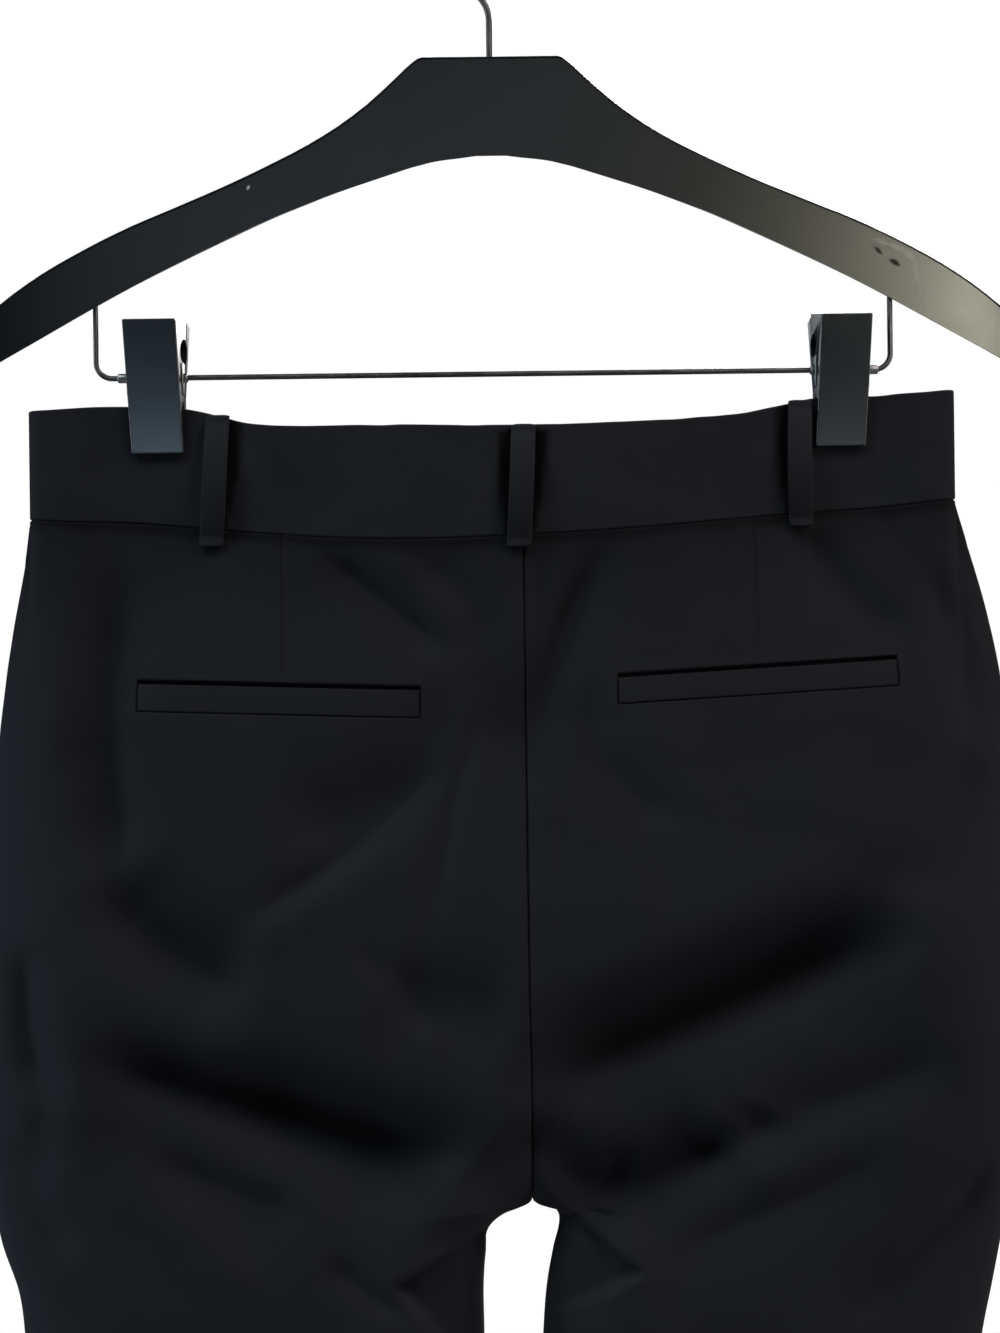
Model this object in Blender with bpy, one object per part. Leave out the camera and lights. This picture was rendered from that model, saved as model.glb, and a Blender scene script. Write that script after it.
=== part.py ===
"""Tailored capri trousers hanging by their waistband from a clip hanger, as rigid pieces.

Objects are in metres with +Z up, while the tables and functions here work in millimetres. The back
of the trousers faces -Y, the front faces +Y, and +X is the wearer's right. The origin is the inside
top of the hanger's hook, where it hangs on a rail.

Each cloth piece is a closed wall. Its outer face is worked out from a table of levels, which gives
the outline and the depth of the hanging trousers, plus a table of folds. Its inner face lies one
cloth thickness inside that.
"""

from collections import namedtuple
import math

import bpy
import numpy as np
from mathutils import Vector
from mathutils.bvhtree import BVHTree

MM = 0.001

# Thicknesses and the gap left at every seam and contact.
CLOTH = 1.3
BAND_WALL = 2.3
LOOP_WALL = 1.6
WELT_WALL = 1.3
GAP = 0.3

# Heights that the tables share.
BAND_SEAM_Z = -254.0
PINCH_END_Z = -345.0
CROTCH_Z = -524.0
HEM_Z = -1030.0

# Roundness of the panels where they turn to the outseam, the inseam and the crotch.
SIDE_ROUND = 58.0
INNER_ROUND = 40.0
RISE_CURVE = 46.0
ROUND_POWER = 2.2
SEAM_FADE = 22.0

# Grid of the panels.
BACK_COLUMNS = 15
FRONT_COLUMNS = 11
EDGE_CLUSTER = 0.62

# One row a level of the trousers: height, left and right outseam, depth of back and front.
Level = namedtuple("Level", "z left right back front")
LEVELS = (
    Level(-254, -186.0, 183.5, 11.5, 11.0),
    Level(-272, -188.5, 189.0, 16.0, 14.0),
    Level(-296, -193.0, 196.0, 22.0, 18.0),
    Level(-330, -197.5, 202.0, 28.0, 21.5),
    Level(-370, -202.0, 205.0, 33.0, 24.0),
    Level(-425, -206.0, 207.0, 36.0, 26.0),
    Level(-470, -206.0, 207.0, 35.0, 27.0),
    Level(-510, -204.0, 203.5, 32.0, 27.0),
    Level(-538, -200.0, 198.5, 30.0, 26.0),
    Level(-558, -193.5, 194.5, 29.0, 25.5),
    Level(-580, -191.0, 190.0, 28.0, 25.0),
    Level(-640, -189.5, 188.0, 27.0, 24.5),
    Level(-760, -185.5, 184.0, 26.0, 24.0),
    Level(-900, -179.0, 178.0, 25.0, 23.0),
    Level(-1030, -173.0, 172.5, 24.0, 22.0),
)

# Inner edges of the two legs, from the crotch down.
Inseam = namedtuple("Inseam", "z left right")
INSEAMS = (
    Inseam(-524, 11.5, 11.5),
    Inseam(-526, 5.5, 18.5),
    Inseam(-529, 0.0, 21.3),
    Inseam(-533, -4.5, 22.0),
    Inseam(-545, -7.0, 19.5),
    Inseam(-558, -8.0, 17.0),
    Inseam(-580, -8.0, 15.0),
    Inseam(-640, -10.0, 15.5),
    Inseam(-760, -14.0, 18.0),
    Inseam(-900, -19.0, 22.0),
    Inseam(-1030, -24.0, 26.0),
)

# Centre seams above the crotch: the back one hangs straight, the front one swings across to it.
CentreSeam = namedtuple("CentreSeam", "z back front")
CENTRE_SEAMS = (
    CentreSeam(-254, 11.0, -11.0),
    CentreSeam(-330, 11.0, -8.5),
    CentreSeam(-420, 11.0, -1.0),
    CentreSeam(-490, 11.5, 8.0),
    CentreSeam(-524, 11.5, 11.5),
)

# Waistband: its top and bottom edge and how far each side stands from the middle plane. The two
# sides are pinched together in the clips and stand apart between them.
BandStation = namedtuple("BandStation", "x top bottom half_depth")
BAND = (
    BandStation(-186, -207.7, -251.4, 5.6),
    BandStation(-168, -207.3, -252.4, 5.2),
    BandStation(-150, -206.7, -252.8, 2.9),
    BandStation(-122, -207.9, -255.0, 2.9),
    BandStation(-98, -213.8, -257.5, 6.6),
    BandStation(-52, -215.5, -260.7, 11.0),
    BandStation(16, -216.6, -259.8, 11.8),
    BandStation(60, -215.0, -257.4, 11.0),
    BandStation(105, -211.4, -253.7, 6.4),
    BandStation(127, -206.6, -252.0, 2.9),
    BandStation(154, -205.4, -250.4, 2.9),
    BandStation(170, -204.5, -248.8, 5.0),
    BandStation(184, -203.6, -247.5, 5.6),
)
BAND_END_ROUND = 7.0
BAND_COLUMNS = 34
FLY_TAB = 34.0
FLY_TAB_TURN = 9.0

# Largest folds, as ridges (+) and troughs (-) along a bent line of three points.
Fold = namedtuple("Fold", "name x1 z1 x2 z2 x3 z3 height width")
BACK_FOLDS = (
    Fold("left seat trough", -166, -453, -97, -469, -39, -503, -8.5, 13),
    Fold("left seat ridge", -168, -466, -111, -496, -60, -522, 4.5, 14),
    Fold("left lower ridge", -148, -507, -128, -531, -93, -557, 3.0, 13),
    Fold("left side trough", -159, -292, -155, -353, -149, -399, -6.0, 14),
    Fold("left hip trough", -149, -388, -126, -415, -95, -430, -5.0, 15),
    Fold("left seat curve", -9, -311, -16, -351, -88, -370, -4.0, 14),
    Fold("left yoke trough", -71, -267, -45, -286, -18, -307, -3.5, 11),
    Fold("right seat trough", 16, -460, 76, -434, 142, -407, -9.0, 14),
    Fold("right seat ridge", 22, -481, 91, -457, 175, -410, 4.5, 15),
    Fold("right lower trough", 16, -501, 47, -516, 76, -494, -6.0, 12),
    Fold("right lower tail", 76, -494, 114, -480, 152, -470, -3.5, 11),
    Fold("right lower ridge", 52, -531, 84, -510, 152, -483, 3.0, 12),
    Fold("right yoke trough", 41, -261, 31, -283, 15, -309, -4.0, 11),
    Fold("right seat curve", 40, -322, 49, -345, 74, -364, -3.0, 12),
    Fold("right side trough", 169, -272, 182, -303, 183, -343, -4.0, 12),
    Fold("right pocket trough", 134, -260, 143, -284, 158, -307, -3.5, 10),
    Fold("right outer trough", 190, -456, 180, -482, 166, -512, -4.0, 12),
    Fold("left shin fold", -120, -640, -100, -720, -112, -830, 3.0, 18),
    Fold("right shin fold", 120, -650, 96, -740, 104, -860, 3.0, 18),
    Fold("left knee trough", -60, -660, -72, -760, -60, -900, -3.0, 18),
    Fold("right knee trough", 60, -640, 68, -750, 62, -880, -3.0, 18),
)
FRONT_FOLDS = (
    Fold("left crotch fold", -18, -500, -70, -478, -140, -462, 4.5, 13),
    Fold("left crotch trough", -20, -518, -76, -503, -150, -492, -5.5, 13),
    Fold("right crotch fold", 30, -498, 90, -474, 150, -458, 4.5, 13),
    Fold("right crotch trough", 32, -516, 92, -498, 152, -484, -5.5, 13),
    Fold("left side trough", -160, -285, -158, -350, -150, -410, -5.0, 14),
    Fold("right side trough", 160, -285, 162, -350, 154, -410, -5.0, 14),
    Fold("left knee trough", -70, -620, -88, -740, -76, -880, -3.0, 18),
    Fold("right knee trough", 74, -620, 92, -740, 80, -880, -3.0, 18),
)
FOLD_TAPER = 0.28

# The inner thighs of the back tuck in under a soft edge, between two lines that meet at a corner.
Tuck = namedtuple("Tuck", "name top_x top_z corner_x corner_z low_x low_z depth soft")
TUCKS = (
    Tuck("left thigh tuck", -5, -531, -42.5, -551, -27.3, -569.1, 4.5, 5.0),
    Tuck("right thigh tuck", 22, -524, 53.3, -547.1, 19.6, -565.2, 4.5, 5.0),
)

# Back pocket welts: the middle of each end, and the height.
Welt = namedtuple("Welt", "name x1 z1 x2 z2 height")
WELTS = (
    Welt("pocket_welt_left", -139.9, -321.6, -29.9, -325.5, 12.0),
    Welt("pocket_welt_right", 46.8, -321.2, 155.9, -315.4, 11.5),
)
WELT_COLUMNS = 20
WELT_LIFT = 0.5

# Belt loops: the middle of each end, how low the lower end is sewn, and the side of the band.
Loop = namedtuple("Loop", "name x_top x_bottom z_bottom side")
LOOPS = (
    Loop("belt_loop_back_left", -109.5, -113, -262.9, -1),
    Loop("belt_loop_back_centre", 11.7, 9.3, -264.8, -1),
    Loop("belt_loop_back_right", 121.6, 121.5, -257.6, -1),
    Loop("belt_loop_front_left", -92.0, -92.0, -264.0, 1),
    Loop("belt_loop_front_right", 92.0, 92.0, -261.0, 1),
)
LOOP_WIDTH = 9.8
LOOP_STAND = 7.0
LOOP_LIFT = 0.4
LOOP_SEWN = 0.075
LOOP_STEPS = 14
LOOP_TOP_DROP = 0.3
LOOP_FEEL = (-2.5, -0.5, 0.5)

# Fly: the shield and the zip behind it, seen only from inside.
FLY_TOP_Z = -262.0
FLY_BOTTOM_Z = -398.0
SHIELD_HALF_WIDTH = 19.0
ZIP_HALF_WIDTH = 12.0
ZIP_WALL = 1.2
ZIP_BEHIND = 0.5
SLIDER_LENGTH = 12.0
SLIDER_HALF_WIDTH = 4.0
SLIDER_WALL = 2.6
SLIDER_ROOM = 3.4
SLIDER_Z = -266.0
BUTTON_RADIUS = 7.5
BUTTON_WALL = 2.4
BUTTON_HOLE_RADIUS = 0.9
BUTTON_HOLE_SPREAD = 1.9
BUTTON_X = -32.0
BUTTON_Z = -236.0

# Hanger body: half of its outline, mirrored about the hook.
HangerStation = namedtuple("HangerStation", "x top bottom")
HANGER = (
    HangerStation(0.0, -68.0, -107.2),
    HangerStation(14.0, -68.0, -108.2),
    HangerStation(26.0, -68.1, -110.0),
    HangerStation(30.5, -69.6, -111.2),
    HangerStation(38.0, -76.6, -113.4),
    HangerStation(48.0, -85.6, -116.6),
    HangerStation(58.0, -93.1, -119.9),
    HangerStation(72.0, -101.7, -125.0),
    HangerStation(88.0, -109.7, -131.1),
    HangerStation(106.0, -118.1, -139.2),
    HangerStation(126.0, -126.7, -148.7),
    HangerStation(146.0, -135.1, -158.8),
    HangerStation(163.0, -143.5, -168.0),
    HangerStation(183.0, -154.6, -179.2),
    HangerStation(199.0, -165.9, -187.9),
    HangerStation(210.0, -175.6, -193.9),
    HangerStation(217.0, -183.8, -196.4),
    HangerStation(220.5, -189.2, -195.4),
)
HANGER_HALF_DEPTH = 6.0
HANGER_FORWARD = 6.0
HANGER_CORNER = 3.4

# Wires: hook and trouser bar.
HOOK_WIRE = 1.3
HOOK_INSIDE = 20.0
HOOK_JOIN_DEG = 235.0
HOOK_END_DEG = -28.0
HOOK_STRAIGHT_TOP_Z = -54.0
HOOK_SOCKET = 12.0
BAR_WIRE = 1.1
BAR_Z = -194.8
BAR_HALF_SPAN = 158.8
BAR_BEND = 10.0
BAR_SOCKET = 7.0

# Clips: each is two jaws round a bent leaf spring, hung on the bar by the back jaw's two ears.
Clip = namedtuple("Clip", "name x tilt_deg")
CLIPS = (
    Clip("clip_left", -136.2, 4.0),
    Clip("clip_right", 141.5, -3.0),
)
JAW_WIDTH = 20.4
JAW_FLANGE = 1.6
# One row a height of a jaw: distance of its outer face, plate thickness, depth of its side flanges.
JawStation = namedtuple("JawStation", "z outer plate flange")
JAW = (
    JawStation(-171.0, 11.2, 2.0, 5.4),
    JawStation(-195.0, 8.6, 2.0, 5.2),
    JawStation(-202.5, 7.2, 2.0, 3.9),
    JawStation(-204.5, 6.6, 2.4, 3.4),
    JawStation(-212.0, 5.6, 2.38, 2.4),
    JawStation(-224.4, 5.2, 1.98, 2.0),
)
EAR_RADIUS = 3.1
EAR_HOLE_RADIUS = 1.75
EAR_ROOT_Y = 4.0
EAR_ROOT_HALF = 3.4
SPRING_TOP_Z = -179.5
SPRING_HALF_WIDTH = 6.5
SPRING_INSIDE = 2.0
SPRING_WALL = 0.7
SPRING_FOOT_Y = 4.4
SPRING_FOOT_Z = -203.4

COLOURS = {
    "cloth": ((0.011, 0.011, 0.014), 0.92, 0.0),
    "hanger plastic": ((0.018, 0.021, 0.023), 0.45, 0.0),
    "clip plastic": ((0.020, 0.023, 0.025), 0.38, 0.0),
    "wire": ((0.16, 0.15, 0.15), 0.30, 1.0),
    "spring steel": ((0.62, 0.62, 0.63), 0.25, 1.0),
    "zip tape": ((0.012, 0.012, 0.014), 0.85, 0.0),
    "zip metal": ((0.30, 0.29, 0.28), 0.35, 1.0),
    "button": ((0.015, 0.015, 0.017), 0.30, 0.0),
}


def clear_scene():
    """Removes whatever the scene holds."""
    for obj in list(bpy.data.objects):
        bpy.data.objects.remove(obj, do_unlink=True)


def material(name):
    """The named Principled material, made once."""
    found = bpy.data.materials.get(name)
    if found:
        return found
    colour, roughness, metallic = COLOURS[name]
    made = bpy.data.materials.new(name)
    made.use_nodes = True
    shader = made.node_tree.nodes["Principled BSDF"]
    shader.inputs["Base Color"].default_value = (*colour, 1.0)
    shader.inputs["Roughness"].default_value = roughness
    shader.inputs["Metallic"].default_value = metallic
    made.diffuse_color = (*colour, 1.0)
    return made


def add_mesh(name, points, faces, material_name):
    """A new object from points in millimetres."""
    mesh = bpy.data.meshes.new(name)
    mesh.from_pydata([Vector(point) * MM for point in points], [], faces)
    mesh.materials.append(material(material_name))
    mesh.shade_smooth()
    mesh.set_sharp_from_angle(angle=math.radians(40))
    obj = bpy.data.objects.new(name, mesh)
    bpy.context.collection.objects.link(obj)
    return obj


def column_of(rows, field):
    """One column of a table, as an array."""
    return np.array([getattr(row, field) for row in rows], float)


def smooth_through(at, stations, values):
    """A smooth curve through a table's values, read at the given places."""
    stations, values = np.asarray(stations, float), np.asarray(values, float)
    if stations[0] > stations[-1]:
        stations, values = stations[::-1], values[::-1]
    at = np.clip(at, stations[0], stations[-1])
    slopes = np.gradient(values, stations)
    i = np.clip(np.searchsorted(stations, at) - 1, 0, len(stations) - 2)
    span = stations[i + 1] - stations[i]
    t = (at - stations[i]) / span
    start = (1 + 2 * t) * (1 - t) ** 2 * values[i] + t * (1 - t) ** 2 * span * slopes[i]
    end = t**2 * (3 - 2 * t) * values[i + 1] + t**2 * (t - 1) * span * slopes[i + 1]
    return start + end


def from_table(rows, field, at, key="z"):
    """A column of a table, read smoothly at the given heights or places."""
    return smooth_through(at, column_of(rows, key), column_of(rows, field))


def ramp(value):
    """Smooth step from 0 to 1."""
    value = np.clip(value, 0.0, 1.0)
    return value * value * (3 - 2 * value)


def band_edge(x, field):
    return from_table(BAND, field, x, "x")


def band_half_depth(x):
    """Distance of the waistband's outer face from the middle plane, closing at both ends."""
    from_end = np.minimum(x - BAND[0].x, BAND[-1].x - x)
    t = np.clip(1 - from_end / BAND_END_ROUND, 0, 1)
    return band_edge(x, "half_depth") * np.sqrt(1 - t**2)


def fold_height(folds, x, z):
    """Sum of the folds at each place, positive where they stand out."""
    total = np.zeros_like(x)
    for fold in folds:
        corners = np.array([(fold.x1, fold.z1), (fold.x2, fold.z2), (fold.x3, fold.z3)], float)
        lengths = np.linalg.norm(np.diff(corners, axis=0), axis=1)
        nearest = np.full(x.shape, np.inf)
        along = np.zeros_like(x)
        for i, length in enumerate(lengths):
            run = (corners[i + 1] - corners[i]) / length
            reach = (x - corners[i, 0]) * run[0] + (z - corners[i, 1]) * run[1]
            held = np.clip(reach, 0, length)
            away = np.hypot(x - corners[i, 0] - held * run[0], z - corners[i, 1] - held * run[1])
            closer = away < nearest
            nearest = np.where(closer, away, nearest)
            along = np.where(closer, (lengths[:i].sum() + held) / lengths.sum(), along)
        strength = ramp(along / FOLD_TAPER + 0.25) * ramp((1 - along) / FOLD_TAPER + 0.25)
        total += fold.height * strength * np.exp(-((nearest / fold.width) ** 2))
    return total


def tuck_depth(tuck, x, z):
    """How far an inner thigh of the back lies behind its soft edge."""
    inside = np.ones_like(x)
    top = np.array((tuck.top_x, tuck.top_z), float)
    corner = np.array((tuck.corner_x, tuck.corner_z), float)
    low = np.array((tuck.low_x, tuck.low_z), float)
    for a, b, other in ((top, corner, low), (corner, low, top)):
        normal = np.array((a[1] - b[1], b[0] - a[0]))
        normal /= np.linalg.norm(normal)
        if normal @ (other - a) < 0:
            normal = -normal
        distance = (x - a[0]) * normal[0] + (z - a[1]) * normal[1]
        inside = inside * ramp(distance / tuck.soft + 0.5)
    return tuck.depth * inside


def panel_rows():
    """Heights of the panels' rows, closest together round the crotch."""
    seat = np.linspace(BAND_SEAM_Z, CROTCH_Z + 10, 22)
    crotch = CROTCH_Z + np.array((4.5, 1.5, 0.0, -1.5, -3.5, -6.0, -10.0, -17.0, -26.0))
    thigh = np.linspace(CROTCH_Z - 37, CROTCH_Z - 76, 4)
    leg = np.linspace(CROTCH_Z - 100, HEM_Z, 13)
    return np.concatenate([seat, crotch, thigh, leg])


def inner_edge(side, face, z):
    """Inner end of a panel's row: the centre seam above the crotch, the inseam below."""
    seam = from_table(CENTRE_SEAMS, face, z)
    inseam = from_table(INSEAMS, "left" if side < 0 else "right", z)
    return np.where(z >= CROTCH_Z, seam, inseam)


def panel_surface(side, face, u, z):
    """Outer face of a panel: u runs from the outseam (0) to the centre seam or inseam (1)."""
    outer_x = from_table(LEVELS, "left" if side < 0 else "right", z)
    inner_x = inner_edge(side, face, z)
    x = outer_x + (inner_x - outer_x) * u
    from_outseam = np.abs(x - outer_x)
    from_inner = np.abs(x - inner_x)

    depth = from_table(LEVELS, face, z)
    t = np.clip(1 - from_outseam / SIDE_ROUND, 0, 1)
    outer_round = (1 - t**ROUND_POWER) ** (1 / ROUND_POWER)
    rise = np.clip((z - CROTCH_Z) / RISE_CURVE, 0, 1)
    height = np.sqrt(1 - (1 - rise) ** 2)
    t = np.clip(1 - from_inner / INNER_ROUND, 0, 1)
    inner_round = (1 - (1 - height**ROUND_POWER) * t**ROUND_POWER) ** (1 / ROUND_POWER)
    out = depth * outer_round * inner_round

    pinch = ramp((z - PINCH_END_Z) / (BAND_SEAM_Z - PINCH_END_Z)) ** 1.5
    out = out * (1 - pinch) + band_half_depth(x) * pinch

    folds = BACK_FOLDS if face == "back" else FRONT_FOLDS
    shift = fold_height(folds, x, z)
    if face == "back":
        shift = shift - tuck_depth(TUCKS[0 if side < 0 else 1], x, z)
    below = ramp((CROTCH_Z + RISE_CURVE - z) / RISE_CURVE)
    fade = ramp(from_outseam / SEAM_FADE) * (1 - below * (1 - ramp(from_inner / SEAM_FADE)))
    fade = fade * ramp((BAND_SEAM_Z - z) / 12.0)
    out = np.maximum(out + shift * fade, GAP / 2)

    # The top row follows the band's lower edge, and the rows below it settle level.
    dip = band_edge(x, "bottom") - GAP / 2 - BAND_SEAM_Z
    level = z + dip * ramp((z - PINCH_END_Z) / (BAND_SEAM_Z - PINCH_END_Z))
    direction = -1.0 if face == "back" else 1.0
    return np.stack([x, direction * out, level], axis=-1)


def grid_normals(grid, outward_y):
    """Unit normals of a grid of points, all turned outwards."""
    normals = np.cross(np.gradient(grid, axis=0), np.gradient(grid, axis=1))
    normals /= np.linalg.norm(normals, axis=-1, keepdims=True)
    return normals if np.sign(normals[..., 1].mean()) == np.sign(outward_y) else -normals


def wall_between(name, outer, inner, material_name):
    """A closed wall from two grids of points of the same size, the first one outside.

    Every cell is cut along the same diagonal in both faces, so the wall keeps its thickness.
    """
    rows, columns = outer.shape[:2]
    points = np.concatenate([outer.reshape(-1, 3), inner.reshape(-1, 3)])
    back = rows * columns
    faces = []
    for i in range(rows - 1):
        for j in range(columns - 1):
            a, b = i * columns + j, i * columns + j + 1
            c, d = b + columns, a + columns
            faces += [(a, b, c), (a, c, d)]
            faces += [(back + c, back + b, back + a), (back + d, back + c, back + a)]
    rim = list(range(columns))
    rim += [i * columns + columns - 1 for i in range(1, rows)]
    rim += [(rows - 1) * columns + j for j in range(columns - 2, -1, -1)]
    rim += [i * columns for i in range(rows - 2, 0, -1)]
    for a, b in zip(rim, rim[1:] + rim[:1]):
        faces.append((b, a, back + a, back + b))
    a, b, c = outer[0, 0], outer[0, 1], outer[1, 1]
    if np.cross(b - a, c - b) @ (outer - inner)[0, 0] < 0:
        faces = [face[::-1] for face in faces]
    return add_mesh(name, points, faces, material_name)


def panel(side, face):
    """One leg panel from the band's seam to the hem."""
    columns = BACK_COLUMNS if face == "back" else FRONT_COLUMNS
    even = np.linspace(0, 1, columns)
    u = EDGE_CLUSTER * (1 - np.cos(np.pi * even)) / 2 + (1 - EDGE_CLUSTER) * even
    z = panel_rows()
    uu, zz = np.meshgrid(u, z)
    outer = panel_surface(side, face, uu, zz)
    direction = -1.0 if face == "back" else 1.0
    inner = outer - grid_normals(outer, direction) * CLOTH
    # Neighbouring panels meet in the seam's own plane, so both faces of the wall end there.
    seam_plane = direction * GAP / 2
    for grid in (outer, inner):
        grid[:, 0, 1] = seam_plane
        grid[..., 1] = direction * np.maximum(direction * grid[..., 1], GAP / 2)
        below = zz[:, -1] <= CROTCH_Z
        grid[below, -1, 1] = seam_plane
        above = ~below
        seam = from_table(CENTRE_SEAMS, face, z[above]) + side * GAP / 2
        grid[above, -1, 0] = seam
        side_x = grid[above, :, 0]
        grid[above, :, 0] = np.where(side > 0, np.maximum(side_x, seam[:, None]),
                                     np.minimum(side_x, seam[:, None]))
    inner[0, :, 2] = outer[0, :, 2]
    inner[-1, :, 2] = outer[-1, :, 2]
    side_name = "left" if side < 0 else "right"
    return wall_between(f"leg_{face}_{side_name}", outer, inner, "cloth")


def band_piece(name, start_x, end_x, direction, columns, tab=0.0):
    """A stretch of waistband. Past `tab` it turns outwards to lie over its neighbour."""
    even = np.linspace(0, 1, columns)
    u = 0.45 * (1 - np.cos(np.pi * even)) / 2 + 0.55 * even
    x = start_x + (end_x - start_x) * u
    top, bottom = band_edge(x, "top"), band_edge(x, "bottom") + GAP / 2
    across = np.linspace(0, 1, 4)[:, None]
    z = top + (bottom - top) * across
    lift = (BAND_WALL + GAP) * ramp((start_x + tab + FLY_TAB_TURN - x) / FLY_TAB_TURN) if tab else 0
    out = np.maximum(band_half_depth(x) + lift, GAP / 2)
    outer = np.stack([np.broadcast_to(x, z.shape), np.broadcast_to(direction * out, z.shape), z], -1)
    inner = outer - grid_normals(outer, direction) * BAND_WALL
    for grid in (outer, inner):
        grid[..., 1] = direction * np.maximum(direction * grid[..., 1], GAP / 2)
    inner[..., 2] = outer[..., 2]
    if start_x > BAND[0].x:
        inner[:, 0, 0] = outer[:, 0, 0]
    if end_x < BAND[-1].x:
        inner[:, -1, 0] = outer[:, -1, 0]
    return wall_between(name, outer, inner, "cloth")


def waistband():
    """The back band, and the two front bands, the right one lapping over the left at the fly."""
    fly_x = CENTRE_SEAMS[0].front
    back = band_piece("waistband_back", BAND[0].x, BAND[-1].x, -1.0, BAND_COLUMNS)
    left = band_piece("waistband_front_left", BAND[0].x, fly_x, 1.0, BAND_COLUMNS // 2)
    right = band_piece("waistband_front_right", fly_x - FLY_TAB, BAND[-1].x, 1.0,
                       BAND_COLUMNS // 2 + 4, tab=FLY_TAB + GAP)
    return back, left, right


def belt_loop(loop, carriers):
    """A strip sewn down at both ends, on the band's top and below its seam, bowed out between."""
    t = np.linspace(0, 1, LOOP_STEPS)[:, None]
    top = band_edge(loop.x_top, "top") - LOOP_TOP_DROP
    middle = loop.x_top + (loop.x_bottom - loop.x_top) * t
    x = middle + LOOP_WIDTH * np.array((-0.5, 0.0, 0.5))
    z = np.broadcast_to(top + (loop.z_bottom - top) * t, x.shape)
    trees = [outer_faces(obj, loop.side) for obj in carriers]
    under = np.empty(x.shape)
    for index in np.ndindex(x.shape):
        found = [point_on(tree, x[index], z[index] + aside) for tree in trees for aside in LOOP_FEEL]
        under[index] = max(out for out in found if out is not None)
    bow = np.clip((t - LOOP_SEWN) / (1 - 2 * LOOP_SEWN), 0, 1)
    out = under + LOOP_LIFT + LOOP_STAND * np.sin(np.pi * bow) ** 0.8
    inner = np.stack([x, loop.side * out, z], -1)
    outer = inner + grid_normals(inner, loop.side) * LOOP_WALL
    outer[..., 0] = inner[..., 0]
    wall_between(loop.name, outer, inner, "cloth")


def outer_faces(obj, direction):
    """A piece's faces as a tree for finding points on it, in millimetres, and its side."""
    mesh = obj.data
    points = [vertex.co / MM for vertex in mesh.vertices]
    return BVHTree.FromPolygons(points, [tuple(face.vertices) for face in mesh.polygons]), direction


def point_on(tree, x, z):
    """How far out a line along Y at this place first meets the piece from outside, if it does."""
    surface, direction = tree
    hit = surface.ray_cast(Vector((x, direction * 200, z)), Vector((0, -direction, 0)))[0]
    return direction * hit.y if hit else None


def pocket_welt(welt, panel_object):
    """A folded strip laid on the back panel along the pocket's opening."""
    tree = outer_faces(panel_object, -1.0)
    t = np.linspace(0, 1, WELT_COLUMNS)
    across = np.array((0.5, 0.17, -0.17, -0.5)) * welt.height
    x = np.broadcast_to(welt.x1 + (welt.x2 - welt.x1) * t, (len(across), len(t)))
    z = welt.z1 + (welt.z2 - welt.z1) * t + across[:, None]
    out = np.array([[point_on(tree, a, b) for a, b in zip(xs, zs)] for xs, zs in zip(x, z)])
    inner = np.stack([x, -(out + WELT_LIFT), z], -1)
    outer = np.stack([x, -(out + WELT_LIFT + WELT_WALL), z], -1)
    wall_between(welt.name, outer, inner, "cloth")


def front_inside(trees, x, z):
    """How far out the front panels' inner faces lie at each place, the nearer one at the seam."""
    found = np.empty(x.shape)
    for index in np.ndindex(x.shape):
        hits = []
        for surface, _ in trees:
            for aside in (-1.0, 0.0, 1.0):
                start = Vector((x[index] + aside, 0, z[index]))
                hits.append(surface.ray_cast(start, Vector((0, 1, 0)))[0])
        found[index] = min(hit.y for hit in hits if hit)
    return found


def fly_strip(name, trees, half_width, behind, wall, material_name):
    """A flat strip behind the fly, bowed in where the zip's slider needs room."""
    z = np.linspace(FLY_TOP_Z, FLY_BOTTOM_Z, 13)[:, None]
    across = np.linspace(-half_width, half_width, 5)
    x = from_table(CENTRE_SEAMS, "front", z) + across
    z = np.broadcast_to(z, x.shape)
    bow = SLIDER_ROOM * ramp((z - (SLIDER_Z - SLIDER_LENGTH - 22)) / 20)
    out = front_inside(trees, x, z) - behind - bow
    outer = np.stack([x, out, z], -1)
    inner = np.stack([x, out - wall, z], -1)
    wall_between(name, outer, inner, material_name)


def fly(front_objects):
    """Zip tape, slider and shield, one behind the other inside the front."""
    trees = [outer_faces(obj, 1.0) for obj in front_objects]
    fly_strip("zip_tape", trees, ZIP_HALF_WIDTH, ZIP_BEHIND, ZIP_WALL, "zip tape")
    fly_strip("fly_shield", trees, SHIELD_HALF_WIDTH, ZIP_BEHIND + ZIP_WALL + ZIP_BEHIND, CLOTH,
              "cloth")
    z = np.array((SLIDER_Z, SLIDER_Z - SLIDER_LENGTH))[:, None]
    x = from_table(CENTRE_SEAMS, "front", z) + np.array((-SLIDER_HALF_WIDTH, SLIDER_HALF_WIDTH))
    z = np.broadcast_to(z, x.shape)
    out = np.full(x.shape, front_inside(trees, x, z).min() - GAP)
    outer = np.stack([x, out, z], -1)
    inner = np.stack([x, out - SLIDER_WALL, z], -1)
    wall_between("zip_slider", outer, inner, "zip metal")


def cutter(name, place, radius, depth, axis="Z"):
    """A hidden cylinder for cutting a hole."""
    bpy.ops.mesh.primitive_cylinder_add(vertices=12, radius=radius * MM, depth=depth * MM,
                                        location=Vector(place) * MM)
    obj = bpy.context.object
    if axis == "Y":
        obj.rotation_euler = (math.pi / 2, 0, 0)
    obj.name = name
    return as_tool(obj)


def as_tool(obj):
    """The object, kept only to cut or join another one."""
    obj.hide_render = True
    obj.display_type = "WIRE"
    return obj


def combine(obj, tool, operation):
    modifier = obj.modifiers.new(tool.name, "BOOLEAN")
    modifier.operation = operation
    modifier.object = tool


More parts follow.
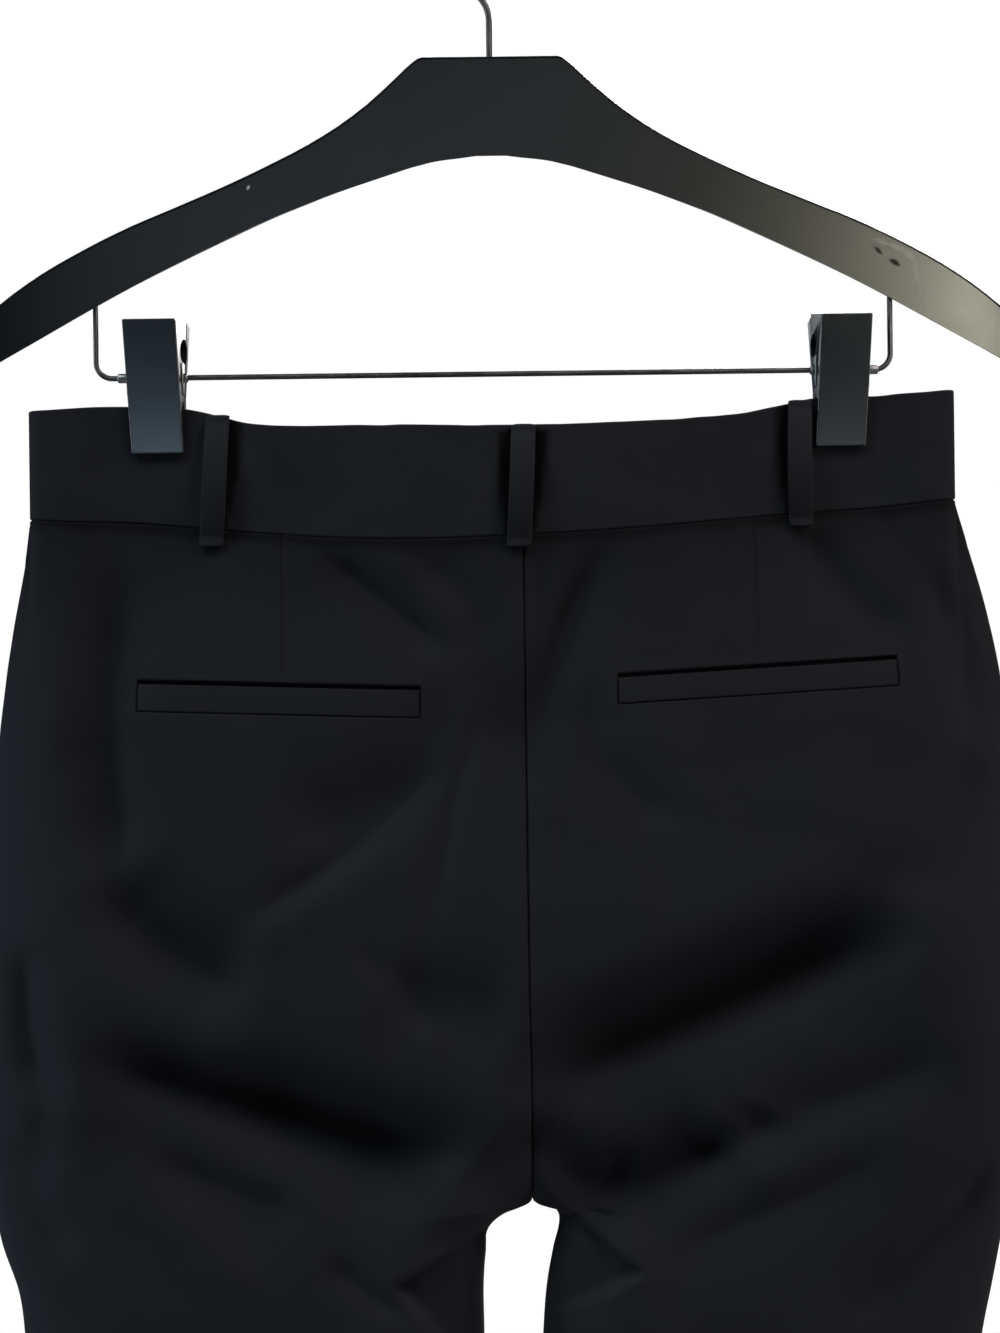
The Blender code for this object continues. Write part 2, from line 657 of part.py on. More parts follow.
def waist_button():
    """A four-hole button on the fly tab."""
    out = band_half_depth(np.array([BUTTON_X]))[0] + BAND_WALL + 2 * GAP + BUTTON_WALL / 2 + 0.2
    place = (BUTTON_X, out, BUTTON_Z)
    bpy.ops.mesh.primitive_cylinder_add(vertices=24, radius=BUTTON_RADIUS * MM,
                                        depth=BUTTON_WALL * MM, location=Vector(place) * MM,
                                        rotation=(math.pi / 2, 0, 0))
    obj = bpy.context.object
    obj.name = "waist_button"
    obj.data.materials.append(material("button"))
    for i in range(4):
        angle = math.pi / 4 + i * math.pi / 2
        hole = (place[0] + BUTTON_HOLE_SPREAD * math.cos(angle), place[1],
                place[2] + BUTTON_HOLE_SPREAD * math.sin(angle))
        tool = cutter(f"button_hole_{i + 1}", hole, BUTTON_HOLE_RADIUS, BUTTON_WALL * 3, "Y")
        combine(obj, tool, "DIFFERENCE")


def loft(name, rings, material_name):
    """A closed body through rings of points that all have the same count."""
    count = len(rings[0])
    points = [point for ring in rings for point in ring]
    faces = []
    for k in range(len(rings) - 1):
        for i in range(count):
            j = (i + 1) % count
            a, b = k * count + i, k * count + j
            faces.append((a, b, b + count, a + count))
    faces.append(tuple(range(count))[::-1])
    faces.append(tuple((len(rings) - 1) * count + i for i in range(count)))
    return add_mesh(name, points, faces, material_name)


def rounded_section(x, y, z, half_depth, half_height, corner):
    """A rounded rectangle in the YZ plane, three points to a corner, at x."""
    corner = min(corner, half_depth * 0.9, half_height * 0.9)
    ring = []
    for quarter in range(4):
        for step in (0, 0.5, 1):
            angle = (quarter + step) * math.pi / 2
            sy = 1 if quarter in (0, 3) else -1
            sz = 1 if quarter in (0, 1) else -1
            ring.append((x, y + sy * (half_depth - corner) + corner * math.cos(angle),
                         z + sz * (half_height - corner) + corner * math.sin(angle)))
    return ring


def hanger_body():
    """The contoured arms and block, with sockets for the hook and the bar."""
    stations = [HangerStation(-row.x, row.top, row.bottom) for row in HANGER[:0:-1]] + list(HANGER)
    reach = HANGER[-1].x
    rings = []
    for row in stations:
        forward = HANGER_FORWARD * (row.x / reach) ** 2
        tip = math.sqrt(max(1 - (abs(row.x) / (reach + 0.8)) ** 14, 0.05))
        rings.append(rounded_section(row.x, forward, (row.top + row.bottom) / 2,
                                     HANGER_HALF_DEPTH * tip, (row.top - row.bottom) / 2,
                                     HANGER_CORNER))
    obj = loft("hanger_body", rings, "hanger plastic")
    top = HANGER[0].top
    tools = [cutter("hook_socket", (0, 0, top), HOOK_WIRE + GAP + 0.1, 2 * HOOK_SOCKET)]
    for side in (-1, 1):
        place = (side * BAR_HALF_SPAN, 0, bar_top_z() - BAR_SOCKET + GAP)
        tools.append(cutter(f"bar_socket_{side}", place, BAR_WIRE + GAP + 0.1, 2 * BAR_SOCKET))
    for tool in tools:
        combine(obj, tool, "DIFFERENCE")


def bar_top_z():
    """Top end of the bar's uprights, inside the hanger's arms."""
    return from_table(HANGER, "bottom", BAR_HALF_SPAN, "x") + BAR_SOCKET


def wire(name, points, radius, material_name, resolution):
    """A round wire along points, with closed ends."""
    curve = bpy.data.curves.new(name, "CURVE")
    curve.dimensions = "3D"
    curve.bevel_depth = radius * MM
    curve.bevel_resolution = resolution
    curve.use_fill_caps = True
    spline = curve.splines.new("POLY")
    spline.points.add(len(points) - 1)
    for place, point in zip(spline.points, points):
        place.co = (*(Vector(point) * MM), 1.0)
    curve.materials.append(material(material_name))
    obj = bpy.data.objects.new(name, curve)
    bpy.context.collection.objects.link(obj)
    return obj


def hanger_hook():
    """Straight shank, a bend to the left, then round over the top to the right."""
    radius = HOOK_INSIDE + HOOK_WIRE
    centre = HOOK_WIRE - radius
    join = math.radians(HOOK_JOIN_DEG)
    start = np.array((0.0, HOOK_STRAIGHT_TOP_Z))
    end = np.array((radius * math.cos(join), centre + radius * math.sin(join)))
    heading = np.array((math.sin(join), -math.cos(join)))
    handles = start + (0, 9.0), end - heading * 7.5
    points = [(0, 0, HANGER[0].top - HOOK_SOCKET + GAP), (0, 0, HANGER[0].top)]
    for t in np.linspace(0, 1, 9)[:-1]:
        at = ((1 - t) ** 3 * start + 3 * (1 - t) ** 2 * t * handles[0]
              + 3 * (1 - t) * t**2 * handles[1] + t**3 * end)
        points.append((at[0], 0, at[1]))
    for degrees in np.linspace(HOOK_JOIN_DEG, HOOK_END_DEG, 28):
        angle = math.radians(degrees)
        points.append((radius * math.cos(angle), 0, centre + radius * math.sin(angle)))
    wire("hanger_hook", points, HOOK_WIRE, "wire", 2)


def trouser_bar():
    """The wire that the clips slide on, bent up into both arms."""
    points = [(-BAR_HALF_SPAN, 0, bar_top_z())]
    for side in (-1, 1):
        bend = []
        for degrees in np.linspace(0, 90, 7):
            angle = math.radians(degrees)
            bend.append((side * (BAR_HALF_SPAN - BAR_BEND + BAR_BEND * math.cos(angle)), 0,
                         BAR_Z + BAR_BEND - BAR_BEND * math.sin(angle)))
        points += bend if side < 0 else bend[::-1]
    points.append((BAR_HALF_SPAN, 0, bar_top_z()))
    wire("trouser_bar", points, BAR_WIRE, "wire", 2)


def tilted(points, clip):
    """Points turned about the clip's place on the bar."""
    angle = math.radians(clip.tilt_deg)
    turned = []
    for x, y, z in points:
        down = BAR_Z - z
        turned.append((clip.x + x * math.cos(angle) + down * math.sin(angle), y,
                       BAR_Z - down * math.cos(angle) + x * math.sin(angle)))
    return turned


def jaw(clip, name, direction):
    """A moulded jaw: a plate with a flange down each side, closing on the band at its foot."""
    half = JAW_WIDTH / 2
    rings = []
    for row in JAW:
        web, flange = row.outer - row.plate, row.outer - row.flange
        outline = ((-half, row.outer), (half, row.outer), (half, flange),
                   (half - JAW_FLANGE, flange), (half - JAW_FLANGE, web),
                   (-half + JAW_FLANGE, web), (-half + JAW_FLANGE, flange), (-half, flange))
        ring = [(x, direction * y, row.z) for x, y in outline]
        rings.append(tilted(ring if direction > 0 else ring[::-1], clip))
    obj = loft(name, rings, "clip plastic")
    if direction < 0:
        for side in (-1, 1):
            combine(obj, jaw_ear(clip, side), "UNION")
        hole = cutter(f"{name}_hole", (clip.x, 0, BAR_Z), EAR_HOLE_RADIUS, 2 * JAW_WIDTH)
        hole.rotation_euler = (0, math.pi / 2, 0)
        combine(obj, hole, "DIFFERENCE")


def jaw_ear(clip, side):
    """A rounded ear on one flange of the back jaw, reaching round the bar."""
    outline = [(-EAR_ROOT_Y, BAR_Z + EAR_ROOT_HALF), (-EAR_ROOT_Y, BAR_Z - EAR_ROOT_HALF)]
    for degrees in np.linspace(-90, 90, 9):
        angle = math.radians(degrees)
        outline.append((EAR_RADIUS * math.cos(angle), BAR_Z + EAR_RADIUS * math.sin(angle)))
    half = JAW_WIDTH / 2
    rings = [tilted([(x, y, z) for y, z in outline], clip)
             for x in sorted((side * half, side * (half - JAW_FLANGE)))]
    return as_tool(loft(f"{clip.name}_ear_{side}", rings, "clip plastic"))


def clip_spring(clip):
    """A strip of spring steel bent round above the bar, its feet against the jaws."""
    outer, inner = [], []
    for degrees in np.linspace(0, 180, 9):
        angle = math.radians(degrees)
        y, z = math.cos(angle), math.sin(angle)
        reach = SPRING_INSIDE + SPRING_WALL
        inner.append((SPRING_INSIDE * y, SPRING_TOP_Z + SPRING_INSIDE * z))
        outer.append((reach * y, SPRING_TOP_Z + reach * z))
    foot_outer, foot_inner = SPRING_FOOT_Y, SPRING_FOOT_Y - SPRING_WALL
    outline = [(foot_outer, SPRING_FOOT_Z), *outer, (-foot_outer, SPRING_FOOT_Z),
               (-foot_inner, SPRING_FOOT_Z), *inner[::-1], (foot_inner, SPRING_FOOT_Z)]
    rings = [tilted([(x, y, z) for y, z in outline], clip)
             for x in (-SPRING_HALF_WIDTH, SPRING_HALF_WIDTH)]
    loft(f"{clip.name}_spring", rings, "spring steel")


def main():
    clear_scene()
    backs = {side: panel(side, "back") for side in (-1, 1)}
    fronts = [panel(side, "front") for side in (-1, 1)]
    band_back, *band_fronts = waistband()
    for loop in LOOPS:
        carriers = [band_back, *backs.values()] if loop.side < 0 else [*band_fronts, *fronts]
        belt_loop(loop, carriers)
    for welt, side in zip(WELTS, (-1, 1)):
        pocket_welt(welt, backs[side])
    fly(fronts)
    waist_button()
    hanger_body()
    hanger_hook()
    trouser_bar()
    for clip in CLIPS:
        jaw(clip, f"{clip.name}_jaw_back", -1.0)
        jaw(clip, f"{clip.name}_jaw_front", 1.0)
        clip_spring(clip)


main()
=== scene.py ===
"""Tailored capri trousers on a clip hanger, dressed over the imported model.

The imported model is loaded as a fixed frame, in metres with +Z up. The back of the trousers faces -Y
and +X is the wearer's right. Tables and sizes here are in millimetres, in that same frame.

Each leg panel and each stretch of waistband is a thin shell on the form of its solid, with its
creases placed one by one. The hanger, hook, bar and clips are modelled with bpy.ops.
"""

import logging
import math
from collections.abc import Callable, Iterator
from contextlib import contextmanager
from dataclasses import dataclass
from enum import Enum

import bmesh
import bpy
import numpy as np
from mathutils import Matrix, Vector
from mathutils.bvhtree import BVHTree

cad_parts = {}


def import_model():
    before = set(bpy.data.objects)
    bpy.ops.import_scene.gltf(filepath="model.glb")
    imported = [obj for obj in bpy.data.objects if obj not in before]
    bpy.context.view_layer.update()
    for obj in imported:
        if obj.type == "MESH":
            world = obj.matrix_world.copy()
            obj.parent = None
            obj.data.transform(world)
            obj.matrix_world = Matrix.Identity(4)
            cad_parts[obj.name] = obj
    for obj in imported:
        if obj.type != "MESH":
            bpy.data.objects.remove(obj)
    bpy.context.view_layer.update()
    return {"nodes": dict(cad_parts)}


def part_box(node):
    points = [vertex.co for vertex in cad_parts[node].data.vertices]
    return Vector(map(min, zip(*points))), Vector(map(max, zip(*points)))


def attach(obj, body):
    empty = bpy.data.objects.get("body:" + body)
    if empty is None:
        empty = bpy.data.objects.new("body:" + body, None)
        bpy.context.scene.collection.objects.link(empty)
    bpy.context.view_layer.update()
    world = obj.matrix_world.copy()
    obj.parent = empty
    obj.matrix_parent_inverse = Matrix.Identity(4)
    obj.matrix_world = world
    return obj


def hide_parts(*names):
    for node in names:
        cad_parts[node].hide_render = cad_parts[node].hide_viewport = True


log = logging.getLogger("trousers")

Array = np.ndarray
Obj = bpy.types.Object
Node = bpy.types.Node
Tree = bpy.types.NodeTree
Socket = bpy.types.NodeSocket

MM = 0.001
# Pieces of cloth lie this far apart.
GAP = 0.3
# The cloth's edges lie closer at the side seams, so that no light shows between them.
SEAM_GAP = 0.02
BODY = "root"
# The trouser bar's height, and where its ends go up into the arms.
BAR_Z = -194.8
BAR_HALF_SPAN = 158.8
# How a cylinder is turned to stand, to lie along X or to face along Y.
UPRIGHT = (0.0, 0.0, 0.0)
ALONG_X = (0.0, math.pi / 2, 0.0)
ALONG_Y = (math.pi / 2, 0.0, 0.0)


class Way(Enum):
    """A side of the trousers; the value is a sign."""

    @property
    def word(self) -> str:
        """The side's word, as in the names of the pieces."""
        return self.name.lower()


class Side(Way):
    """Left or right as seen from the back; the value is the sign of X."""

    LEFT = -1
    RIGHT = 1


class Face(Way):
    """Back or front of the trousers; the value is the sign of Y that it faces."""

    BACK = -1
    FRONT = 1


class Pick(Enum):
    """What is chosen in edit mode; the value is Blender's name of that mode."""

    EDGES = "EDGE"
    FACES = "FACE"


# ---------------------------------------------------------------- numbers


def ramp(value: Array) -> Array:
    """Smooth step from 0 to 1."""
    value = np.clip(value, 0.0, 1.0)
    return value * value * (3 - 2 * value)


def swell(away: Array, wide: float | Array, sharp: float = 2.0) -> Array:
    """A soft swelling: 1 on its line, and fading out round a half width away."""
    return np.exp(-(np.abs(away / wide) ** sharp))


def smooth_through(at: Array, stations: Array, values: Array) -> Array:
    """Reads a smooth curve through a table's values.

    Args:
        at: The places to read.
        stations: The table's places, rising or falling.
        values: The table's values at those places.

    Returns:
        The curve's value at each place.
    """
    if stations[0] > stations[-1]:
        stations, values = stations[::-1], values[::-1]
    at = np.clip(at, stations[0], stations[-1])
    slopes = np.gradient(values, stations)
    i = np.clip(np.searchsorted(stations, at) - 1, 0, len(stations) - 2)
    span = stations[i + 1] - stations[i]
    t = (at - stations[i]) / span
    start = (1 + 2 * t) * (1 - t) ** 2 * values[i] + t * (1 - t) ** 2 * span * slopes[i]
    end = t**2 * (3 - 2 * t) * values[i + 1] + t**2 * (t - 1) * span * slopes[i + 1]
    return start + end


def spaced(start: float, stop: float, coarse: float, spots: list[tuple]) -> Array:
    """Places along a line, closer together round some spots.

    Args:
        start: First place.
        stop: Last place.
        coarse: Distance between places away from the spots.
        spots: For each spot its middle, its reach and the distance between places there.

    Returns:
        The places in order, both ends included.
    """
    line = np.linspace(start, stop, 8001)
    step = np.full(line.shape, float(coarse))
    for middle, reach, close in spots:
        near = ramp((1.6 * reach - np.abs(line - middle)) / (0.6 * reach))
        step = np.minimum(step, close + (coarse - close) * (1 - near))
    count = np.concatenate([[0.0], np.cumsum(np.abs(np.diff(line)) / step[1:])])
    return np.interp(np.linspace(0, count[-1], int(round(count[-1])) + 1), count, line)


def soft_noise(x: Array, z: Array, size: float, seed: int) -> Array:
    """Smooth noise between -1 and 1.

    Args:
        x: Places across.
        z: Places down.
        size: How wide a lump is.
        seed: Seed of the random lattice.

    Returns:
        The noise at each place.
    """
    lattice = np.random.default_rng(seed).uniform(-1, 1, (64, 64))
    a, b = x / size, z / size
    i, j = np.floor(a).astype(int), np.floor(b).astype(int)
    s, t = ramp(a - i), ramp(b - j)
    low = lattice[i % 64, j % 64] * (1 - s) + lattice[(i + 1) % 64, j % 64] * s
    high = lattice[i % 64, (j + 1) % 64] * (1 - s) + lattice[(i + 1) % 64, (j + 1) % 64] * s
    return low * (1 - t) + high * t


@dataclass(frozen=True)
class Table:
    """A table whose columns are read smoothly between its rows; the first column is the place."""

    names: tuple[str, ...]
    rows: tuple[tuple[float, ...], ...]

    def column(self, name: str) -> Array:
        """One column as an array."""
        return np.array([row[self.names.index(name)] for row in self.rows], float)

    def read(self, name: str, at: Array) -> Array:
        """The named column, read smoothly at these places."""
        return smooth_through(at, self.column(self.names[0]), self.column(name))


# ---------------------------------------------------------------- finishes


def from_hex(colour: str) -> tuple[float, float, float, float]:
    """An sRGB hex colour as a linear one.

    Args:
        colour: The colour, a # and six digits.

    Returns:
        Red, green, blue and a full alpha.
    """
    parts = [int(colour[i : i + 2], 16) / 255 for i in (1, 3, 5)]
    linear = [p / 12.92 if p <= 0.04045 else ((p + 0.055) / 1.055) ** 2.4 for p in parts]
    return (*linear, 1.0)


def add_node(tree: Tree, kind: str, settings: dict, links: dict | None = None) -> Node:
    """Adds one node with its settings and links.

    Args:
        tree: The node tree.
        kind: Blender's name of the node type, after its first two words.
        settings: Properties of the node, or values of its inputs, by name or number.
        links: The sockets that feed its inputs, by name or number.

    Returns:
        The new node.
    """
    node = tree.nodes.new(f"ShaderNode{kind}")
    for key, value in settings.items():
        if isinstance(key, str) and hasattr(node, key):
            setattr(node, key, value)
        else:
            node.inputs[key].default_value = value
    for key, socket in (links or {}).items():
        tree.links.new(socket, node.inputs[key])
    return node


def object_place(tree: Tree) -> Socket:
    """Places on the object, in metres."""
    return add_node(tree, "TexCoord", {}).outputs["Object"]


def cloth_place(tree: Tree) -> Socket:
    """Places on the flat cloth, in metres."""
    return add_node(tree, "UVMap", {"uv_map": "cloth"}).outputs["UV"]


def noise(tree: Tree, place: Socket, scale: float, detail: float, rough: float = 0.5) -> Socket:
    """Cloudy noise with so many lumps in a metre."""
    return add_node(tree, "TexNoise", {"Scale": scale, "Detail": detail, "Roughness": rough},
                    {"Vector": place}).outputs["Fac"]


def wave(tree: Tree, place: Socket, pitch_mm: float, settings: dict) -> Socket:
    """Bands or rings that follow each other at a pitch."""
    return add_node(tree, "TexWave", {"Scale": math.tau / (20 * pitch_mm * MM), **settings},
                    {"Vector": place}).outputs["Fac"]


def rescale(tree: Tree, value: Socket, old: tuple, new: tuple = (0.0, 1.0)) -> Socket:
    """A value taken from an old range to a new one, and held within it."""
    ranges = dict(zip(("From Min", "From Max", "To Min", "To Max"), (*old, *new)))
    return add_node(tree, "MapRange", ranges, {"Value": value}).outputs["Result"]


def multiply(tree: Tree, first: Socket, second: Socket) -> Socket:
    """The product of two values."""
    return add_node(tree, "Math", {"operation": "MULTIPLY"}, {0: first, 1: second}).outputs[0]


def blend(tree: Tree, share: Socket, first: str | Socket, second: str) -> Socket:
    """A blend of two colours.

    Args:
        tree: The node tree.
        share: How much of the second shows.
        first: A hex colour, or a socket that gives one.
        second: A hex colour.

    Returns:
        The blend's socket.
    """
    held = {6: from_hex(first)} if isinstance(first, str) else {}
    fed = {} if held else {6: first}
    return add_node(tree, "Mix", {"data_type": "RGBA", 7: from_hex(second), **held},
                    {0: share, **fed}).outputs[2]


def bump(tree: Tree, height: Socket, strength: float, distance: float) -> Socket:
    """A normal that follows a height; the distance is in metres."""
    return add_node(tree, "Bump", {"Strength": strength, "Distance": distance},
                    {"Height": height}).outputs["Normal"]


def set_shader(tree: Tree, shader: Node, values: dict, links: dict) -> None:
    """Sets a shader's own sockets and links.

    Args:
        tree: The node tree.
        shader: The shader.
        values: Values by socket name.
        links: Feeding sockets by socket name.
    """
    for key, value in values.items():
        shader.inputs[key].default_value = value
    for key, socket in links.items():
        tree.links.new(socket, shader.inputs[key])


@dataclass(frozen=True)
class Finish:
    """What every finish has: a material's name and the slot that it fills."""

    name: str
    slot: str

    def material(self) -> bpy.types.Material:
        """The material, made the first time that it is asked for.

        Returns:
            The material.
        """
        made = bpy.data.materials.get(self.name)
        if made is None:
            made = bpy.data.materials.new(self.name)
            made.use_nodes = True
            self.paint(made.node_tree, made.node_tree.nodes["Principled BSDF"])
        return made

    def paint(self, tree: Tree, shader: Node) -> None:
        """Adds the material's nodes. Each finish has its own way.

        Args:
            tree: The material's node tree.
            shader: Its Principled shader.
        """
        raise NotImplementedError


@dataclass(frozen=True)
class WovenTwill(Finish):
    """Fine wool-blend suiting, piece-dyed and woven in twill.

    The eye gets a matte near-black ground, a faint diagonal line, a soft bloom of loose fibre at
    the edges of the form and a few specks of lint. Shade is also painted into its colour: in folds,
    under the band and beside the belt loops.
    """

    name: str = "wool twill, woven and piece-dyed"
    slot: str = "cloth"
    ground: str = "#121316"
    worn: str = "#17181c"
    lint: str = "#55575a"
    # How much darker the cloth is painted where shade falls: in folds, under the band and beside the
    # loops.
    crushed: float = 0.66
    # Real suiting has a twill line about every 0.5 mm; it is drawn at 1.1 mm so that it shows.
    line_mm: float = 1.1
    line_turn: float = 63.0
    fibre_mm: float = 0.8
    roughness: float = 0.86
    lint_every_mm: float = 11.0

    def paint(self, tree: Tree, shader: Node) -> None:
        """Adds the weave, the painted shade where shade falls, and the lint.

        Args:
            tree: The material's node tree.
            shader: Its Principled shader.
        """
        flat, place = cloth_place(tree), object_place(tree)
        turned = add_node(tree, "Mapping", {"Rotation": (0, 0, math.radians(self.line_turn))},
                          {"Vector": flat})
        twill = wave(tree, turned.outputs["Vector"], self.line_mm,
                     {"Distortion": 1.2, "Detail": 2.0, "Detail Scale": 1.5})
        fibre = noise(tree, flat, 1 / (self.fibre_mm * MM), 3.0, 0.7)
        threads = add_node(tree, "Math", {"operation": "MULTIPLY_ADD", 1: 0.5},
                           {0: twill, 2: fibre}).outputs[0]
        ground = blend(tree, noise(tree, place, 28.0, 4.0, 0.6), self.ground, self.worn)
        # Painted shade: the colour is darkened by the mesh's painted shade attribute, in folds, under
        # the band and beside the loops.
        fold = add_node(tree, "Attribute", {"attribute_name": "hollow"}).outputs["Fac"]
        depth = add_node(tree, "Math", {"operation": "MULTIPLY_ADD", 1: -self.crushed, 2: 1.0},
                         {0: fold}).outputs[0]
        tone = multiply(tree, rescale(tree, threads, (0.3, 1.2), (0.93, 1.07)), depth)
        weave = add_node(tree, "VectorMath", {"operation": "SCALE"}, {0: ground, "Scale": tone})
        specks = add_node(tree, "TexVoronoi", {"Scale": 1 / (self.lint_every_mm * MM),
                                               "Randomness": 1.0}, {"Vector": place})
        fleck = rescale(tree, specks.outputs["Distance"], (0.026, 0.014))
        rare = add_node(tree, "SeparateColor", {}, {0: specks.outputs["Color"]})
        chosen = add_node(tree, "Math", {"operation": "GREATER_THAN", 1: 0.45},
                          {0: rare.outputs[0]}).outputs[0]
        lint = multiply(tree, multiply(tree, fleck, chosen), rare.outputs[1])
        set_shader(tree, shader,
                   {"Roughness": self.roughness, "IOR": 1.5, "Specular IOR Level": 0.035,
                    "Sheen Weight": 0.02, "Sheen Roughness": 0.5,
                    "Sheen Tint": from_hex("#b9bcc4")},
                   {"Base Color": blend(tree, lint, weave.outputs["Vector"], self.lint),
                    "Normal": bump(tree, threads, 0.14, 0.0002)})


@dataclass(frozen=True)
class ScuffMark:
    """A mark along a line on a face that looks along -Y: a nick, a scuff, or in the default pale
    colour a painted highlight.
    """

    start: tuple[float, float]
    end: tuple[float, float]
    width: float
    # The default pale colour is that of a painted highlight.
    colour: str = "#8f8f8a"
    strength: float = 1.0
    roughness: float = 0.4

    def mask(self, tree: Tree, place: Socket) -> Socket:
        """A socket that is 1 on the mark's line and 0 away from it.

        Args:
            tree: The node tree.
            place: The socket that gives object coordinates.

        Returns:
            The socket.
        """
        run = np.subtract(self.end, self.start)
        half = float(np.linalg.norm(run)) / 2 * MM
        centre = tuple(np.add(self.start, self.end) / 2 * MM)
        turn = math.atan2(run[1], run[0])
        moved = add_node(tree, "Mapping",
                         {"vector_type": "TEXTURE", "Location": (centre[0], -3 * MM, centre[1]),
                          "Rotation": (0, -turn, 0), "Scale": (half, 10 * MM, self.width / 2 * MM)},
                         {"Vector": place})
        ball = add_node(tree, "TexGradient", {"gradient_type": "SPHERICAL"},
                        {"Vector": moved.outputs["Vector"]})
        # Broken up by noise: worn plastic for a scuff, a painted highlight for a pale mark.
        worn = multiply(tree, ball.outputs["Fac"], noise(tree, place, 1400.0, 3.0))
        return rescale(tree, worn, (0.03, 0.3), (0.0, self.strength))


@dataclass(frozen=True)
class MouldedPlastic(Finish):
    """Injection-moulded ABS or polypropylene with a spark-eroded satin grain.

    The eye gets a soft reflection with a fine grain in it, rubbed smoother in patches, a few
    scuffs from use and, where a finish lists them, pale painted highlights.
    """

    colour: str
    roughness: float
    grain_mm: float = 0.45
    marks: tuple[ScuffMark, ...] = ()

    def paint(self, tree: Tree, shader: Node) -> None:
        """Adds the grain, the rubbed patches, the scuffs and the painted highlights.

        Args:
            tree: The material's node tree.
            shader: Its Principled shader.
        """
        place = object_place(tree)
        grain = noise(tree, place, 1 / (self.grain_mm * MM), 2.0, 0.6)
        ground = add_node(tree, "RGB", {})
        ground.outputs[0].default_value = from_hex(self.colour)
        colour = ground.outputs[0]
        gloss = rescale(tree, noise(tree, place, 22.0, 5.0, 0.62), (0.3, 0.7),
                        (self.roughness - 0.01, self.roughness + 0.02))
        for mark in self.marks:
            near = mark.mask(tree, place)
            colour = blend(tree, near, colour, mark.colour)
            gloss = add_node(tree, "Mix", {"data_type": "FLOAT", 3: mark.roughness},
                             {0: near, 2: gloss}).outputs[0]
        set_shader(tree, shader, {"IOR": 1.5, "Specular IOR Level": 0.5},
                   {"Base Color": colour, "Roughness": gloss,
                    "Normal": bump(tree, grain, 0.15, 0.00006)})


@dataclass(frozen=True)
class DrawnWire(Finish):
    """Steel drawn to wire or strip, plated and lightly tumbled.

    The eye gets sharp bright lines along the length, dulled a little in patches.
    """

    colour: str
    roughness: float
    draw_mm: float = 0.25

    def paint(self, tree: Tree, shader: Node) -> None:
        """Adds the drawing marks and the dulled patches.

        Args:
            tree: The material's node tree.
            shader: Its Principled shader.
        """
        place = object_place(tree)
        drawn = noise(tree, place, 1 / (self.draw_mm * MM), 2.0)
        gloss = rescale(tree, noise(tree, place, 90.0, 4.0), (0.35, 0.7),
                        (self.roughness * 0.8, self.roughness * 1.35))
        set_shader(tree, shader, {"Base Color": from_hex(self.colour), "Metallic": 1.0},
                   {"Roughness": gloss, "Normal": bump(tree, drawn, 0.12, 0.00004)})


@dataclass(frozen=True)
class WovenTape(Finish):
    """Polyester zip tape, warp-knitted: fine ribs along its length."""

    name: str = "zip tape, knitted polyester"
    slot: str = "zip_tape"
    colour: str = "#17181a"
    rib_mm: float = 1.0

    def paint(self, tree: Tree, shader: Node) -> None:
        """Adds the ribs.

        Args:
            tree: The material's node tree.
            shader: Its Principled shader.
        """
        ribs = wave(tree, cloth_place(tree), self.rib_mm, {"Distortion": 0.4})
        set_shader(tree, shader, {"Roughness": 0.8, "IOR": 1.5, "Specular IOR Level": 0.3},
                   {"Base Color": blend(tree, ribs, self.colour, "#26272a"),
                    "Normal": bump(tree, ribs, 0.5, 0.0002)})


@dataclass(frozen=True)
class TurnedResin(Finish):
    """Polyester resin, cast and turned: a polished face with fine turning rings."""

    name: str = "button resin, cast and turned"
    slot: str = "button"
    colour: str = "#15151a"
    ring_mm: float = 0.6
    centre: tuple[float, float, float] = (0.0, 0.0, 0.0)

    def paint(self, tree: Tree, shader: Node) -> None:
        """Adds the resin's cloud and the turning rings round the centre.

        Args:
            tree: The material's node tree.
            shader: Its Principled shader.
        """
        place = object_place(tree)
        centred = add_node(tree, "Mapping", {"Location": tuple(-c * MM for c in self.centre)},
                           {"Vector": place})
        rings = wave(tree, centred.outputs["Vector"], self.ring_mm,
                     {"wave_type": "RINGS", "rings_direction": "Y", "Distortion": 0.2})
        cloud = noise(tree, place, 260.0, 4.0)
        set_shader(tree, shader, {"Roughness": 0.24, "IOR": 1.54},
                   {"Base Color": blend(tree, cloud, self.colour, "#26262d"),
                    "Normal": bump(tree, rings, 0.15, 0.00005)})


@dataclass(frozen=True)
class SpunThread(Finish):
    """Core-spun polyester sewing thread: two plies twisted, a little shinier than the cloth."""

    name: str = "sewing thread, twisted polyester"
    slot: str = "cloth"
    colour: str = "#1d1e21"
    twist_mm: float = 0.25

    def paint(self, tree: Tree, shader: Node) -> None:
        """Adds the plies' twist.

        Args:
            tree: The material's node tree.
            shader: Its Principled shader.
        """
        twist = wave(tree, object_place(tree), self.twist_mm, {"bands_direction": "DIAGONAL"})
        set_shader(tree, shader, {"Roughness": 0.6, "IOR": 1.5},
                   {"Base Color": blend(tree, twist, self.colour, "#303137"),
                    "Normal": bump(tree, twist, 0.4, 0.0001)})


@dataclass(frozen=True)
class MattePaint(Finish):
    """Matte floor paint, rolled on: a pale coat with hardly any cloud in it."""

    name: str = "floor, matte paint"
    slot: str = "floor"

    def paint(self, tree: Tree, shader: Node) -> None:
        """Adds the coat.

        Args:
            tree: The material's node tree.
            shader: Its Principled shader.
        """
        mottle = noise(tree, object_place(tree), 9.0, 4.0)
        set_shader(tree, shader, {"Roughness": 0.8},
                   {"Base Color": blend(tree, mottle, "#e6e6e5", "#ebebea")})


